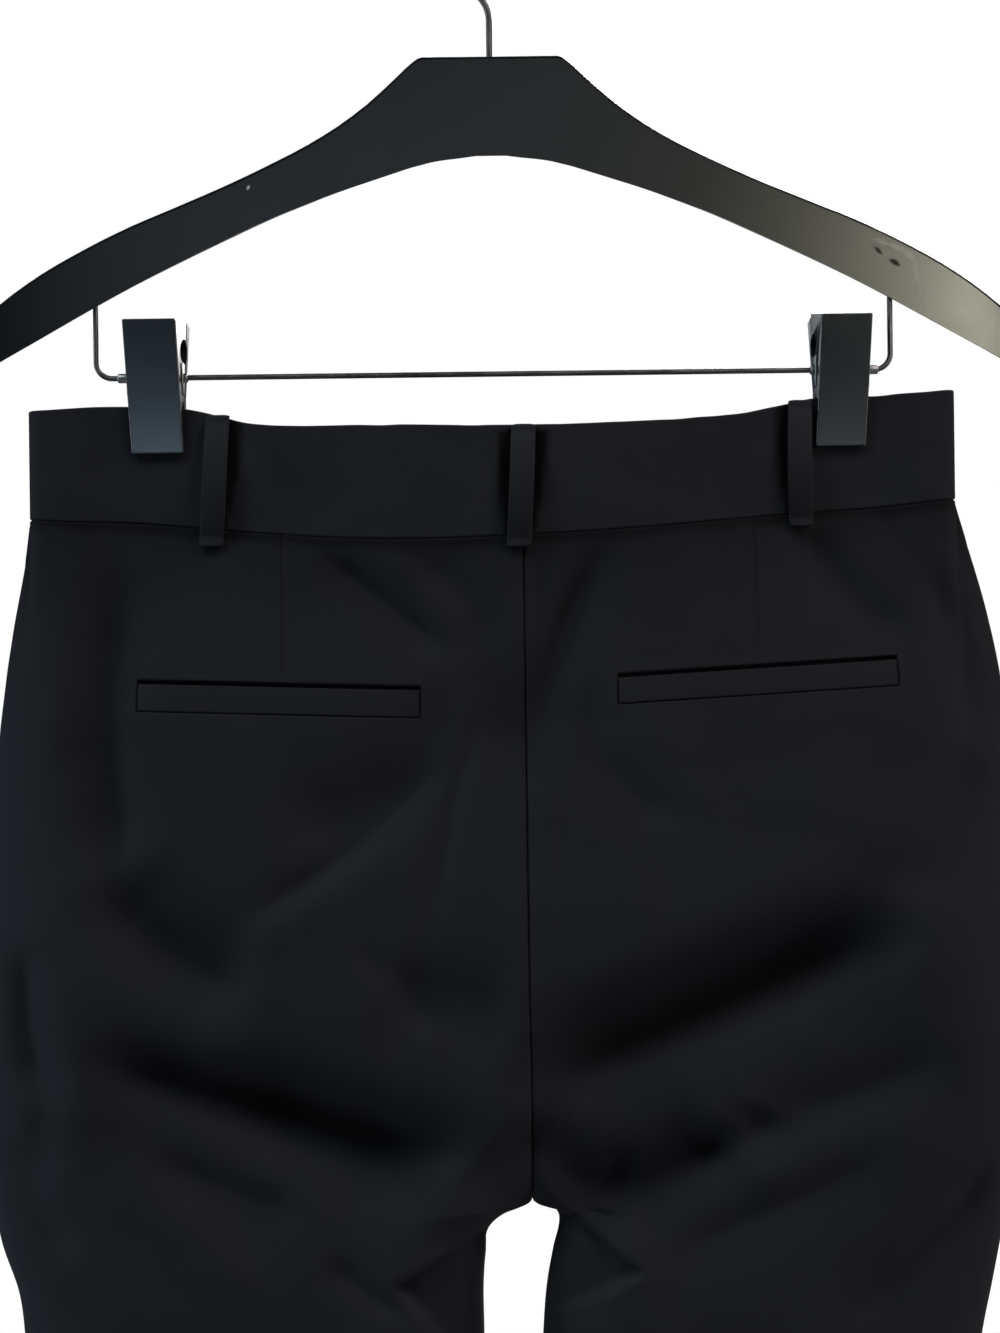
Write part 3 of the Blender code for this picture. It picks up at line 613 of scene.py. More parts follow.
TWILL = WovenTwill()
TAPE = WovenTape()
THREAD = SpunThread()
HANGER_ABS = MouldedPlastic("hanger ABS, moulded satin", "hanger_plastic", "#131517", 0.28, marks=(
    # Pale streaks at the right arm's tip: a painted highlight where the arm catches the light.
    ScuffMark((150.6, -142.8), (160.4, -145.8), 2.4, strength=0.5),
    ScuffMark((156.8, -144.6), (166.2, -148.8), 3.0, strength=0.7),
    ScuffMark((162.8, -146.4), (169.8, -153.4), 3.4, strength=0.8),
    ScuffMark((167.4, -149.2), (171.4, -163.4), 3.4, strength=0.8),
    ScuffMark((170.2, -157.6), (172.4, -173.4), 3.0, strength=0.6),
    ScuffMark((151.8, -146.0), (156.0, -149.6), 2.0, "#020203", 0.8, 0.75),
    ScuffMark((158.0, -151.0), (163.0, -154.2), 2.6, "#020203", 0.9, 0.75),
    ScuffMark((88.4, -113.6), (91.4, -124.8), 1.0, "#050506", 0.6, 0.6),
    ScuffMark((-97.4, -121.4), (-95.8, -119.0), 1.6, "#c8cac8"),
))
CLIP_ABS = MouldedPlastic("clip ABS, moulded satin", "clip_plastic", "#0f1214", 0.2, 0.4)
BLACK_NICKEL = DrawnWire("steel wire, black-nickel plated", "wire", "#4a4849", 0.36)
SPRING_STEEL = DrawnWire("spring steel strip, bright rolled", "spring_steel", "#6c6d6d", 0.34)
ZIP_METAL = DrawnWire("zip brass, gunmetal plated", "zip_metal", "#6f6b66", 0.34)


# ---------------------------------------------------------------- meshes


def mesh_object(name: str, points: Array, faces: list, uv: Array | None = None,
                hollow: Array | None = None) -> Obj:
    """Makes a mesh object from points in millimetres.

    Args:
        name: The object's name.
        points: One row a vertex.
        faces: Tuples of vertex numbers.
        uv: Where each vertex lies on the flat cloth, in metres.
        hollow: How much painted shade each vertex gets, from 0 to 1.

    Returns:
        The new object, at the origin.
    """
    mesh = bpy.data.meshes.new(name)
    mesh.from_pydata((np.asarray(points) * MM).tolist(), [], faces)
    if uv is not None:
        layer = mesh.uv_layers.new(name="cloth")
        corners = np.empty(len(mesh.loops), dtype=np.int32)
        mesh.loops.foreach_get("vertex_index", corners)
        layer.data.foreach_set("uv", uv[corners].astype(np.float32).ravel())
    if hollow is not None:
        layer = mesh.attributes.new("hollow", "FLOAT", "POINT")
        layer.data.foreach_set("value", hollow.astype(np.float32))
    mesh.shade_smooth()
    obj = bpy.data.objects.new(name, mesh)
    bpy.context.collection.objects.link(obj)
    return obj


def grid_normals(grid: Array, outward: float) -> Array:
    """Unit normals of a grid of points.

    Args:
        grid: Points by row and column.
        outward: The sign of Y that they should face on the whole.

    Returns:
        One unit normal a point.
    """
    normals = np.cross(np.gradient(grid, axis=0), np.gradient(grid, axis=1))
    normals /= np.maximum(np.linalg.norm(normals, axis=-1, keepdims=True), 1e-9)
    return normals if np.sign(normals[..., 1].mean()) == np.sign(outward) else -normals


def walked_along(grid: Array, axis: int) -> Array:
    """How far each point of a grid lies from its first row or column, along the cloth.

    Args:
        grid: Points by row and column.
        axis: 0 to walk down the rows, 1 to walk across the columns.

    Returns:
        One distance a point.
    """
    walked = np.linalg.norm(np.diff(grid, axis=axis), axis=-1).cumsum(axis=axis)
    return np.concatenate([np.zeros_like(walked.take([0], axis=axis)), walked], axis=axis)


def rounded_drop(grid: Array, radius: float) -> Array:
    """How far each point sinks where a grid's borders are rounded over.

    Args:
        grid: Points by row and column.
        radius: Radius of the rounding.

    Returns:
        One distance a point, ready to multiply normals.
    """
    far = np.full(grid.shape[:2], np.inf)
    for axis in (0, 1):
        walked = walked_along(grid, axis)
        far = np.minimum(far, np.minimum(walked, walked.take([-1], axis=axis) - walked))
    border = np.clip(1 - far / radius, 0, 1)
    return (radius * (1 - np.sqrt(1 - border**2)))[..., None]


def flat_places(grid: Array) -> Array:
    """Where each point of a grid lies on the flat cloth, in metres, for weave and stitches.

    Args:
        grid: Points by row and column.

    Returns:
        A pair a point, one row each.
    """
    across, down = walked_along(grid, 1), walked_along(grid, 0).mean(axis=1, keepdims=True)
    return np.stack([across, down + 0 * across], axis=-1).reshape(-1, 2) * MM


def shell(name: str, outer: Array, inner: Array, hollow: Array | float) -> Obj:
    """Closes two grids of points of the same size into a thin wall.

    Args:
        name: The object's name.
        outer: The face that shows.
        inner: The face behind it.
        hollow: How much painted shade each point gets, from 0 to 1.

    Returns:
        The new object.
    """
    rows, columns = outer.shape[:2]
    back = rows * columns
    i, j = np.meshgrid(np.arange(rows - 1), np.arange(columns - 1), indexing="ij")
    a = (i * columns + j).ravel()
    quads = np.stack([a, a + 1, a + 1 + columns, a + columns], axis=1)
    rim = list(range(columns))
    rim += [k * columns + columns - 1 for k in range(1, rows)]
    rim += [(rows - 1) * columns + k for k in range(columns - 2, -1, -1)]
    rim += [k * columns for k in range(rows - 2, 0, -1)]
    first, second = np.array(rim), np.array(rim[1:] + rim[:1])
    edge = np.stack([second, first, back + first, back + second], axis=1)
    faces = np.concatenate([quads, quads[:, ::-1] + back, edge])
    middle = rows // 2, columns // 2
    p, q, r = outer[middle], outer[middle[0], middle[1] + 1], outer[middle[0] + 1, middle[1] + 1]
    if np.cross(q - p, r - q) @ (outer - inner)[middle] < 0:
        faces = faces[:, ::-1]
    points = np.concatenate([outer.reshape(-1, 3), inner.reshape(-1, 3)])
    # Each point's painted shade, the same on both faces.
    depth = np.broadcast_to(hollow, (rows, columns)).ravel()
    return mesh_object(name, points, faces.tolist(), np.tile(flat_places(outer), (2, 1)),
                       np.tile(depth, 2))


def rounded_shell(name: str, outer: Array, wall: float, outward: float, round_by: float,
                  hollow: float = 0.0) -> Obj:
    """A wall from one grid, its borders rounded over as a turned edge of cloth is.

    Args:
        name: The object's name.
        outer: The face that shows, by row and column.
        wall: Thickness.
        outward: The sign of Y that the face looks to.
        round_by: Radius of the rounding at the borders.
        hollow: How much painted shade the whole piece gets, from 0 to 1.

    Returns:
        The new object.
    """
    normals = grid_normals(outer, outward)
    drop = np.minimum(rounded_drop(outer, round_by), wall * 0.42)
    return shell(name, outer - normals * drop, outer - normals * (wall - drop), hollow)


def dress(obj: Obj, finish: Finish, *nodes: str) -> Obj:
    """Gives a finished piece its material, body and the nodes that it stands for.

    Args:
        obj: The piece.
        finish: Its finish.
        *nodes: Names of the CAD nodes that it replaces.

    Returns:
        The same piece.
    """
    obj.data.materials.clear()
    obj.data.materials.append(finish.material())
    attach(obj, BODY)
    if nodes:
        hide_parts(*nodes)
    log.info("%s, in %s", obj.name, finish.name)
    return obj


def tree_of(obj: Obj) -> BVHTree:
    """A piece's faces as a tree, in millimetres, for finding points on it."""
    points = [vertex.co / MM for vertex in obj.data.vertices]
    return BVHTree.FromPolygons(points, [tuple(face.vertices) for face in obj.data.polygons])


def height_on(tree: BVHTree, x: float, z: float, outward: float) -> float | None:
    """How far out a line along Y first meets a piece.

    Args:
        tree: The piece's faces.
        x: Place across.
        z: Height.
        outward: The sign of Y on which the line starts.

    Returns:
        The distance from the middle plane, or None where the line misses.
    """
    hit = tree.ray_cast(Vector((x, outward * 200, z)), Vector((0, -outward, 0)))[0]
    return outward * hit.y if hit else None


# ---------------------------------------------------------------- modelling by hand


def deselect_all() -> None:
    """Leaves nothing selected, in object mode."""
    if bpy.context.object and bpy.context.object.mode != "OBJECT":
        bpy.ops.object.mode_set(mode="OBJECT")
    bpy.ops.object.select_all(action="DESELECT")


def make_active(obj: Obj) -> None:
    """Selects one object alone and makes it active.

    Args:
        obj: The object.
    """
    deselect_all()
    obj.select_set(True)
    bpy.context.view_layer.objects.active = obj


@contextmanager
def editing(obj: Obj) -> Iterator[None]:
    """Opens one object in edit mode and closes it afterwards.

    Args:
        obj: The object.

    Yields:
        Nothing; what runs meanwhile acts on the object.
    """
    make_active(obj)
    bpy.ops.object.mode_set(mode="EDIT")
    yield
    bpy.ops.object.mode_set(mode="OBJECT")


def choose(obj: Obj, pick: Pick, test: Callable) -> None:
    """Selects in edit mode the edges or faces that pass a test, and nothing else.

    Args:
        obj: The object in edit mode.
        pick: Edges or faces.
        test: Takes an edge or a face and says whether it is wanted.
    """
    bpy.ops.mesh.select_mode(type=pick.value)
    bpy.ops.mesh.select_all(action="DESELECT")
    shape = bmesh.from_edit_mesh(obj.data)
    for part in shape.edges if pick is Pick.EDGES else shape.faces:
        if test(part):
            part.select = True
    bmesh.update_edit_mesh(obj.data)


def edge_middle(edge: bmesh.types.BMEdge) -> Vector:
    """Middle of a mesh edge, in millimetres."""
    return (edge.verts[0].co + edge.verts[1].co) / 2 / MM


def tidy_normals(obj: Obj) -> None:
    """Turns every face of a closed mesh outwards.

    Args:
        obj: The object.
    """
    with editing(obj):
        bpy.ops.mesh.select_all(action="SELECT")
        bpy.ops.mesh.normals_make_consistent(inside=False)


def apply_modifier(obj: Obj, kind: str, **settings: object) -> None:
    """Adds a modifier and applies it.

    Args:
        obj: The object.
        kind: The modifier's type.
        **settings: Its settings.
    """
    make_active(obj)
    modifier = obj.modifiers.new(kind.lower(), kind)
    for key, value in settings.items():
        setattr(modifier, key, value)
    bpy.ops.object.modifier_apply(modifier=modifier.name)


def smooth(obj: Obj, angle: float = 40.0) -> None:
    """Smooth shading that keeps edges sharper than an angle in degrees."""
    make_active(obj)
    bpy.ops.object.shade_smooth_by_angle(angle=math.radians(angle))


def bevel(obj: Obj, width: float, segments: int, angle: float = 30.0) -> None:
    """Rounds an object's sharp edges and smooths its shading.

    Args:
        obj: The object.
        width: Width of the rounding, in millimetres.
        segments: How many faces it has.
        angle: The least angle of an edge that is rounded, in degrees.
    """
    apply_modifier(obj, "BEVEL", width=width * MM, segments=segments, limit_method="ANGLE",
                   angle_limit=math.radians(angle), harden_normals=False)
    smooth(obj)


def finely_shaded(obj: Obj) -> None:
    """Shades a moulded piece so that its flat faces look flat beside their rounded edges."""
    smooth(obj, 35)
    apply_modifier(obj, "WEIGHTED_NORMAL", keep_sharp=True)


def settle(obj: Obj) -> None:
    """Puts an object's place into its mesh, so that it sits at the origin."""
    make_active(obj)
    bpy.ops.object.transform_apply(location=True, rotation=True, scale=True)


def cut_with(obj: Obj, tool: Obj, operation: str = "DIFFERENCE") -> None:
    """Cuts an object with a tool, or joins the two, and removes the tool."""
    apply_modifier(obj, "BOOLEAN", operation=operation, object=tool, solver="EXACT")
    bpy.data.objects.remove(tool, do_unlink=True)


def add_cylinder(place: tuple, radius: float, depth: float, turned: tuple = ALONG_X,
                 vertices: int = 32) -> Obj:
    """Adds a cylinder.

    Args:
        place: Its middle, in millimetres.
        radius: Its radius.
        depth: Its length.
        turned: How it is turned from upright.
        vertices: How many sides it has.

    Returns:
        The cylinder.
    """
    deselect_all()
    bpy.ops.mesh.primitive_cylinder_add(vertices=vertices, radius=radius * MM, depth=depth * MM,
                                        location=Vector(place) * MM, rotation=turned)
    return bpy.context.object


def bore(obj: Obj, place: tuple, radius: float, depth: float, turned: tuple = ALONG_X,
         stretch: float = 1.0) -> None:
    """Cuts a round hole, or a slot.

    Args:
        obj: The object to cut.
        place: Middle of the hole, in millimetres.
        radius: Its radius.
        depth: Its whole length.
        turned: How it is turned from upright.
        stretch: How many times longer than wide it is.
    """
    tool = add_cylinder(place, radius, depth, turned)
    tool.scale = (stretch, 1, 1)
    cut_with(obj, tool)


def stretched_box(name: str, sections: list) -> Obj:
    """A box drawn down through level sections.

    Args:
        name: The object's name.
        sections: For each the middle, the width and the depth, in millimetres.

    Returns:
        The box.
    """
    (place, width, depth), *rest = sections
    deselect_all()
    bpy.ops.mesh.primitive_plane_add(size=1.0, location=Vector(place) * MM)
    obj = bpy.context.object
    obj.name = name
    obj.scale = (width * MM, depth * MM, 1)
    settle(obj)
    with editing(obj):
        bpy.ops.mesh.select_all(action="SELECT")
        for middle, wide, deep in rest:
            bpy.ops.mesh.extrude_region_move()
            bpy.ops.transform.translate(value=(Vector(middle) - Vector(place)) * MM)
            bpy.ops.transform.resize(value=(wide / width, deep / depth, 1),
                                     center_override=Vector(middle) * MM)
            place, width, depth = middle, wide, deep
    tidy_normals(obj)
    return obj


def copy_of(node: Obj, name: str) -> Obj:
    """A copy of a CAD node with its loose triangles merged into clean faces.

    Args:
        node: The node's object.
        name: Name of the copy.

    Returns:
        The copy.
    """
    obj = bpy.data.objects.new(name, node.data.copy())
    bpy.context.collection.objects.link(obj)
    with editing(obj):
        bpy.ops.mesh.select_all(action="SELECT")
        bpy.ops.mesh.remove_doubles(threshold=0.00001)
        bpy.ops.mesh.dissolve_limited(angle_limit=math.radians(1.5))
    return obj


# ---------------------------------------------------------------- form of the trousers

BAND_SEAM_Z = -254.0
PINCH_END_Z = -345.0
CROTCH_Z = -524.0
HEM_Z = -1030.0

LEVELS = Table(("z", "left", "right", "back", "front"), (
    (-254, -186.0, 183.5, 11.5, 11.0),
    (-272, -188.5, 189.0, 16.0, 14.0),
    (-296, -193.0, 196.0, 22.0, 18.0),
    (-330, -197.5, 202.0, 28.0, 21.5),
    (-370, -202.0, 205.0, 33.0, 24.0),
    (-425, -206.0, 207.0, 36.0, 26.0),
    (-470, -206.0, 207.0, 35.0, 27.0),
    (-510, -204.0, 203.5, 32.0, 27.0),
    (-538, -200.0, 198.5, 30.0, 26.0),
    (-558, -193.5, 194.5, 29.0, 25.5),
    (-580, -191.0, 190.0, 28.0, 25.0),
    (-640, -189.5, 188.0, 27.0, 24.5),
    (-760, -185.5, 184.0, 26.0, 24.0),
    (-900, -179.0, 178.0, 25.0, 23.0),
    (-1030, -173.0, 172.5, 24.0, 22.0),
))
INSEAMS = Table(("z", "left", "right"), (
    (-524, 11.5, 11.5),
    (-526, 5.5, 18.5),
    (-529, 0.0, 21.3),
    (-533, -4.5, 22.0),
    (-545, -7.0, 19.5),
    (-558, -8.0, 17.0),
    (-580, -8.0, 15.0),
    (-640, -10.0, 15.5),
    (-760, -14.0, 18.0),
    (-900, -19.0, 22.0),
    (-1030, -24.0, 26.0),
))
CENTRE_SEAMS = Table(("z", "back", "front"), (
    (-254, 11.0, -11.0),
    (-330, 11.0, -8.5),
    (-420, 11.0, -1.0),
    (-490, 11.5, 8.0),
    (-524, 11.5, 11.5),
))
BAND = Table(("x", "top", "bottom", "half_depth"), (
    (-186, -207.7, -251.4, 5.6),
    (-168, -207.3, -252.4, 5.2),
    (-150, -206.7, -252.8, 2.9),
    (-122, -207.9, -255.0, 2.9),
    (-98, -213.8, -257.5, 6.6),
    (-52, -215.5, -260.7, 11.0),
    (16, -216.6, -259.8, 11.8),
    (60, -215.0, -257.4, 11.0),
    (105, -211.4, -253.7, 6.4),
    (127, -206.6, -252.0, 2.9),
    (154, -205.4, -250.4, 2.9),
    (170, -204.5, -248.8, 5.0),
    (184, -203.6, -247.5, 5.6),
))
BAND_START, BAND_END = -186.0, 184.0
# A trough gets painted shade from this depth on, over this much more depth.
DARK_FROM, DARK_SPAN = 5.0, 11.0
# How far a trough's painted shade reaches above its line, as a share, and below it.
DARK_ABOVE, DARK_BELOW = 1.1, 7.0


@dataclass(frozen=True)
class Crease:
    """A soft ridge (+) or trough (-) along a bent line of three points.

    `above` and `below` are its half widths on its two sides. `sharp` is 2 for a soft one and less
    for a crisp line, and `foot` is the same for its lower side where that differs.
    """

    line: tuple[float, float, float, float, float, float]
    height: float
    above: float
    below: float
    sharp: float = 2.0
    foot: float | None = None
    taper: float = 0.3

    def relief(self, x: Array, z: Array) -> tuple[Array, Array]:
        """How far the crease moves the cloth out at each place, and how much shade is painted there.

        Args:
            x: Places across.
            z: Heights.

        Returns:
            The move outwards in millimetres, and the painted shade from 0 to 1.
        """
        t = np.linspace(-0.08, 1.08, 25)
        shares = np.stack([(1 - t) * (1 - 2 * t), 4 * t * (1 - t), t * (2 * t - 1)], axis=1)
        path = shares @ np.array(self.line).reshape(3, 2)
        reach = 3.0 * max(self.above, self.below)
        near = (x > path[:, 0].min() - reach) & (x < path[:, 0].max() + reach)
        near &= (z > path[:, 1].min() - reach) & (z < path[:, 1].max() + reach)
        px, pz = x[near], z[near]
        best = np.full(px.shape, np.inf)
        side = np.zeros(px.shape)
        along = np.zeros(px.shape)
        lengths = np.linalg.norm(np.diff(path, axis=0), axis=1)
        walked = np.concatenate([[0.0], np.cumsum(lengths)])
        way = 1.0 if path[-1, 0] >= path[0, 0] else -1.0
        for i, length in enumerate(lengths):
            run = (path[i + 1] - path[i]) / length
            dx, dz = px - path[i, 0], pz - path[i, 1]
            held = np.clip(dx * run[0] + dz * run[1], 0, length)
            away = np.hypot(dx - held * run[0], dz - held * run[1])
            closer = away < best
            best = np.where(closer, away, best)
            side = np.where(closer, way * (run[0] * dz - run[1] * dx), side)
            along = np.where(closer, (walked[i] + held) / walked[-1], along)
        strength = ramp(along / self.taper) * ramp((1 - along) / self.taper)
        upper = swell(best, self.above, self.sharp)
        lower = swell(best, self.below, self.foot or self.sharp)
        out, hollow = np.zeros_like(x), np.zeros_like(x)
        out[near] = self.height * strength * np.where(side > 0, upper, lower)
        # Painted shade on a deep trough: strongest on its upper side, in a narrow strip below its
        # line.
        deep = np.clip((-self.height - DARK_FROM) / DARK_SPAN, 0, 1)
        wide = np.where(side > 0, DARK_ABOVE * self.above, DARK_BELOW)
        hollow[near] = deep * strength * swell(best, wide)
        return out, hollow


BACK_CREASES = (
    # Under the left seat: a deep trough, the ridge below it, and its tail to the inner thigh.
    Crease((-160, -462, -100, -482, -28, -512), -14.2, 13, 32, 1.7, 1.2, 0.26),
    Crease((-112, -468, -62, -486, -4, -504), -8.5, 16, 22, 1.8, 1.5),
    Crease((-172, -466, -116, -493, -50, -529), 2.2, 8, 14),
    Crease((-149, -499, -119, -531, -92, -557), 2.0, 7, 12),
    Crease((-136, -500, -109, -514, -78, -525), -4.5, 9, 14, 1.6),
    Crease((-196, -492, -179, -521, -164, -541), -3.0, 9, 8),
    Crease((-68, -542, -51, -555, -35, -565), -3.4, 7, 5, 1.6),
    Crease((-60, -487, -38, -498, -14, -500), -2.6, 8, 7),
    Crease((-54, -418, -40, -440, -26, -457), -2.2, 9, 4, 1.6),
    Crease((-50, -424, -36, -446, -22, -462), 1.6, 4, 6),
    # Left hip and side.
    Crease((-151, -272, -153, -340, -147, -402), -9.5, 11, 12, 1.7),
    Crease((-166, -299, -163, -330, -157, -357), -1.8, 4, 5, 1.6),
    Crease((-153, -394, -130, -420, -96, -434), -9.0, 22, 12, 1.6, 1.5),
    Crease((-185, -418, -183, -446, -180, -476), -6.0, 7, 8, 1.6),
    Crease((-171, -455, -176, -480, -180, -512), -2.6, 7, 8),
    # Left seat, from the centre seam outwards.
    Crease((-16, -316, -34, -352, -82, -376), -5.5, 16, 12),
    Crease((0, -300, -10, -330, -28, -357), 2.0, 8, 9),
    Crease((-20, -346, -53, -379, -98, -407), -4.6, 9, 7, 1.3),
    Crease((-40, -378, -70, -400, -98, -416), 1.2, 4, 9),
    Crease((-2, -322, -17, -363, -26, -412), -2.8, 7, 4, 1.4),
    Crease((-44, -434, -18, -443, 8, -446), -5.0, 16, 20),
    Crease((-68, -266, -43, -286, -18, -308), -4.6, 4, 9, 1.3),
    Crease((-30, -268, -16, -284, -2, -302), -2.0, 9, 9),
    Crease((-14, -292, 0, -322, 8, -362), -6.6, 15, 15, taper=0.4),
    Crease((-52, -262, -34, -276, -12, -296), 1.6, 6, 6),
    # Under the right seat: two troughs with a ridge under each.
    Crease((2, -478, 66, -453, 154, -415), -17.5, 19, 36, 1.7, 1.2, 0.3),
    Crease((20, -432, 79, -414, 140, -390), 2.6, 16, 14),
    Crease((40, -480, 100, -458, 180, -420), 2.0, 9, 16),
    Crease((4, -492, 29, -512, 51, -522), -12.0, 14, 22, 1.7, 1.4, 0.25),
    Crease((40, -522, 63, -512, 88, -497), -12.0, 16, 22, 1.7, 1.4, 0.3),
    Crease((76, -498, 91, -499, 104, -486), -6.0, 11, 14, 1.6),
    Crease((96, -489, 132, -481, 174, -465), -6.0, 13, 18, 1.7),
    Crease((52, -530, 94, -510, 165, -480), 2.4, 8, 14),
    Crease((60, -544, 101, -526, 150, -502), -4.4, 10, 13, 1.6),
    Crease((130, -571, 163, -541, 195, -505), -6.5, 10, 14, 1.5),
    # Right seat, hip and yoke.
    Crease((46, -262, 28, -294, 12, -348), -7.0, 6, 9, 1.4, 1.6, 0.4),
    Crease((19, -262, 16, -290, 13, -330), -2.0, 4, 5),
    Crease((37, -318, 44, -352, 72, -372), -3.2, 7, 12, 1.6),
    Crease((124, -258, 141, -286, 166, -303), -4.0, 8, 9),
    Crease((169, -272, 182, -303, 186, -343), -4.5, 9, 9),
    Crease((186, -343, 176, -372, 152, -404), -5.4, 10, 12),
    Crease((112, -352, 140, -372, 172, -378), 1.4, 14, 16),
    Crease((20, -395, 36, -402, 60, -398), 0.9, 9, 10),
    # Down the legs.
    Crease((-150, -590, -118, -650, -108, -740), 3.2, 14, 17),
    Crease((-60, -610, -72, -700, -62, -830), -3.0, 14, 16),
    Crease((-160, -640, -150, -720, -146, -820), -2.6, 12, 12),
    Crease((-112, -800, -104, -890, -108, -985), 2.4, 16, 16),
    Crease((-44, -840, -52, -900, -48, -990), -1.8, 12, 14),
    Crease((146, -600, 116, -660, 104, -760), 3.0, 14, 17),
    Crease((58, -600, 70, -700, 62, -830), -3.0, 15, 14),
    Crease((164, -650, 152, -730, 150, -830), -2.4, 12, 12),
    Crease((104, -810, 98, -900, 102, -990), 2.2, 16, 16),
    Crease((50, -850, 58, -910, 54, -995), -1.7, 12, 13),
    Crease((-130, -735, -95, -752, -62, -742), -1.8, 8, 10),
    Crease((60, -728, 96, -748, 134, -738), -1.6, 8, 10),
)
FRONT_CREASES = (
    Crease((-18, -498, -70, -476, -140, -460), 4.5, 10, 12),
    Crease((-20, -517, -76, -503, -150, -490), -6.0, 11, 9),
    Crease((-26, -540, -80, -530, -146, -520), 2.6, 9, 10),
    Crease((30, -496, 90, -472, 150, -456), 4.5, 10, 12),
    Crease((32, -515, 92, -498, 152, -482), -6.0, 11, 9),
    Crease((34, -540, 92, -526, 150, -512), 2.6, 9, 10),
    Crease((2, -470, -30, -452, -70, -438), -2.2, 7, 9),
    Crease((14, -472, 44, -450, 82, -434), -2.2, 7, 9),
    Crease((-160, -285, -158, -350, -150, -410), -5.0, 12, 13),
    Crease((160, -285, 162, -350, 154, -410), -5.0, 12, 13),
    Crease((-52, -262, -60, -300, -84, -345), -2.4, 9, 11),
    Crease((44, -262, 56, -300, 82, -345), -2.4, 9, 11),
    Crease((-110, -262, -116, -296, -128, -330), -1.6, 7, 8),
    Crease((110, -262, 118, -296, 130, -330), -1.6, 7, 8),
    Crease((-70, -620, -88, -740, -76, -880), -3.0, 15, 16),
    Crease((-128, -640, -120, -740, -118, -850), 2.6, 16, 16),
    Crease((74, -620, 92, -740, 80, -880), -3.0, 15, 16),
    Crease((130, -640, 122, -740, 118, -850), 2.6, 16, 16),
    Crease((-140, -742, -100, -726, -58, -738), -2.2, 9, 8),
    Crease((58, -734, 98, -722, 142, -740), -2.2, 9, 8),
    Crease((-110, -860, -104, -930, -108, -995), 2.0, 15, 15),
    Crease((108, -860, 104, -930, 106, -995), 2.0, 15, 15),
)


@dataclass(frozen=True)
class Tuck:
    """A corner of the inner thigh that lies behind a soft edge, between two lines."""

    top: tuple[float, float]
    corner: tuple[float, float]
    low: tuple[float, float]
    depth: float = 5.5
    soft: float = 3.4

    def relief(self, x: Array, z: Array) -> Array:
        """How far the cloth lies back at each place, as a negative number.

        Args:
            x: Places across.
            z: Heights.

        Returns:
            One number a place.
        """
        inside = np.ones_like(x)
        for a, b, other in ((self.top, self.corner, self.low), (self.corner, self.low, self.top)):
            normal = np.array((a[1] - b[1], b[0] - a[0]), float)
            normal /= np.linalg.norm(normal)
            if normal @ (np.array(other) - a) < 0:
                normal = -normal
            away = (x - a[0]) * normal[0] + (z - a[1]) * normal[1]
            inside = inside * ramp(away / self.soft + 0.5)
        return -self.depth * inside


TUCKS = {
    Side.LEFT: Tuck((-5, -531), (-42.5, -551), (-27.3, -569.1)),
    Side.RIGHT: Tuck((22, -524), (53.3, -547.1), (19.6, -565.2)),
}


@dataclass(frozen=True)
class Pocket:
    """A single-welt back pocket and the dart above it."""

    node: str
    start: tuple[float, float]
    end: tuple[float, float]
    height: float
    dart_top: float
    dart_low: float
    slit: float = 1.1
    # Depths of the welt's recess and of the slit along its top.
    recess: float = 1.5
    slit_depth: float = 1.6
    # Heights of the lip above the slit, the tacks at its ends and the cloth pulled up below them.
    lip: float = 0.35
    tack: float = 0.35
    pull: float = 0.5
    # Depth of the dart's seam, and height of its allowance, pressed to one side.
    dart_groove: float = 0.55
    dart_ply: float = 0.3

    @property
    def middle(self) -> tuple[float, float]:
        """Middle of the welt."""
        return (self.start[0] + self.end[0]) / 2, (self.start[1] + self.end[1]) / 2

    @property
    def slope(self) -> float:
        """How much the welt rises for each millimetre across."""
        return (self.end[1] - self.start[1]) / (self.end[0] - self.start[0])

    def down_line(self, x: Array, z: Array) -> tuple[Array, Array]:
        """How far each place lies above the welt's middle line, and whether it is within its ends.

        Args:
            x: Places across.
            z: Heights.

        Returns:
            The distance above the line, and a mask from 0 to 1.
        """
        above = z - (self.middle[1] + self.slope * (x - self.middle[0]))
        inside = ramp((x - self.start[0]) / 0.8 + 0.5) * ramp((self.end[0] - x) / 0.8 + 0.5)
        return above, inside

    def relief(self, x: Array, z: Array) -> Array:
        """The pocket's recess, slit and end tacks, and the dart's seam.

        Args:
            x: Places across.
            z: Heights.

        Returns:
            The move outwards at each place.
        """
        above, inside = self.down_line(x, z)
        half = self.height / 2
        bed = ramp((half + 0.35 - np.abs(above)) / 0.7) * inside
        out = -self.recess * bed - self.slit_depth * inside * swell(above - half + 0.6, 0.7)
        out = out + self.lip * (swell(above - half - 1.3, 1.1) * inside)
        for end, outward in ((self.start[0], -1), (self.end[0], 1)):
            tack = swell(x - end - outward * 0.9, 0.6)
            out = out + self.tack * tack * ramp(half - np.abs(above) + 0.5)
            from_pull = np.hypot(x - end - outward * 3.0, (above + half + 1.5) * 1.2)
            out = out + self.pull * swell(from_pull, 4.5)
        dart_x = self.dart_x(z)
        on_dart = ramp((z - self.middle[1] - half - 1) / 4) * ramp((BAND_SEAM_Z + 1 - z) / 2)
        out = out - self.dart_groove * on_dart * swell(x - dart_x, 0.55)
        return out + self.dart_ply * on_dart * swell(x - dart_x - 1.9, 1.7)

    def dart_x(self, z: Array) -> Array:
        """Where the dart's seam lies at each height."""
        share = np.clip((BAND_SEAM_Z - z) / (BAND_SEAM_Z - self.middle[1]), 0, 1)
        return self.dart_top + (self.dart_low - self.dart_top) * share


POCKETS = {
    Side.LEFT: Pocket("pocket_welt_left", (-139.9, -321.6), (-29.9, -325.5), 12.0, -84.7, -83.2),
    Side.RIGHT: Pocket("pocket_welt_right", (46.8, -321.2), (155.9, -315.4), 11.5, 102.5, 102.6),
}


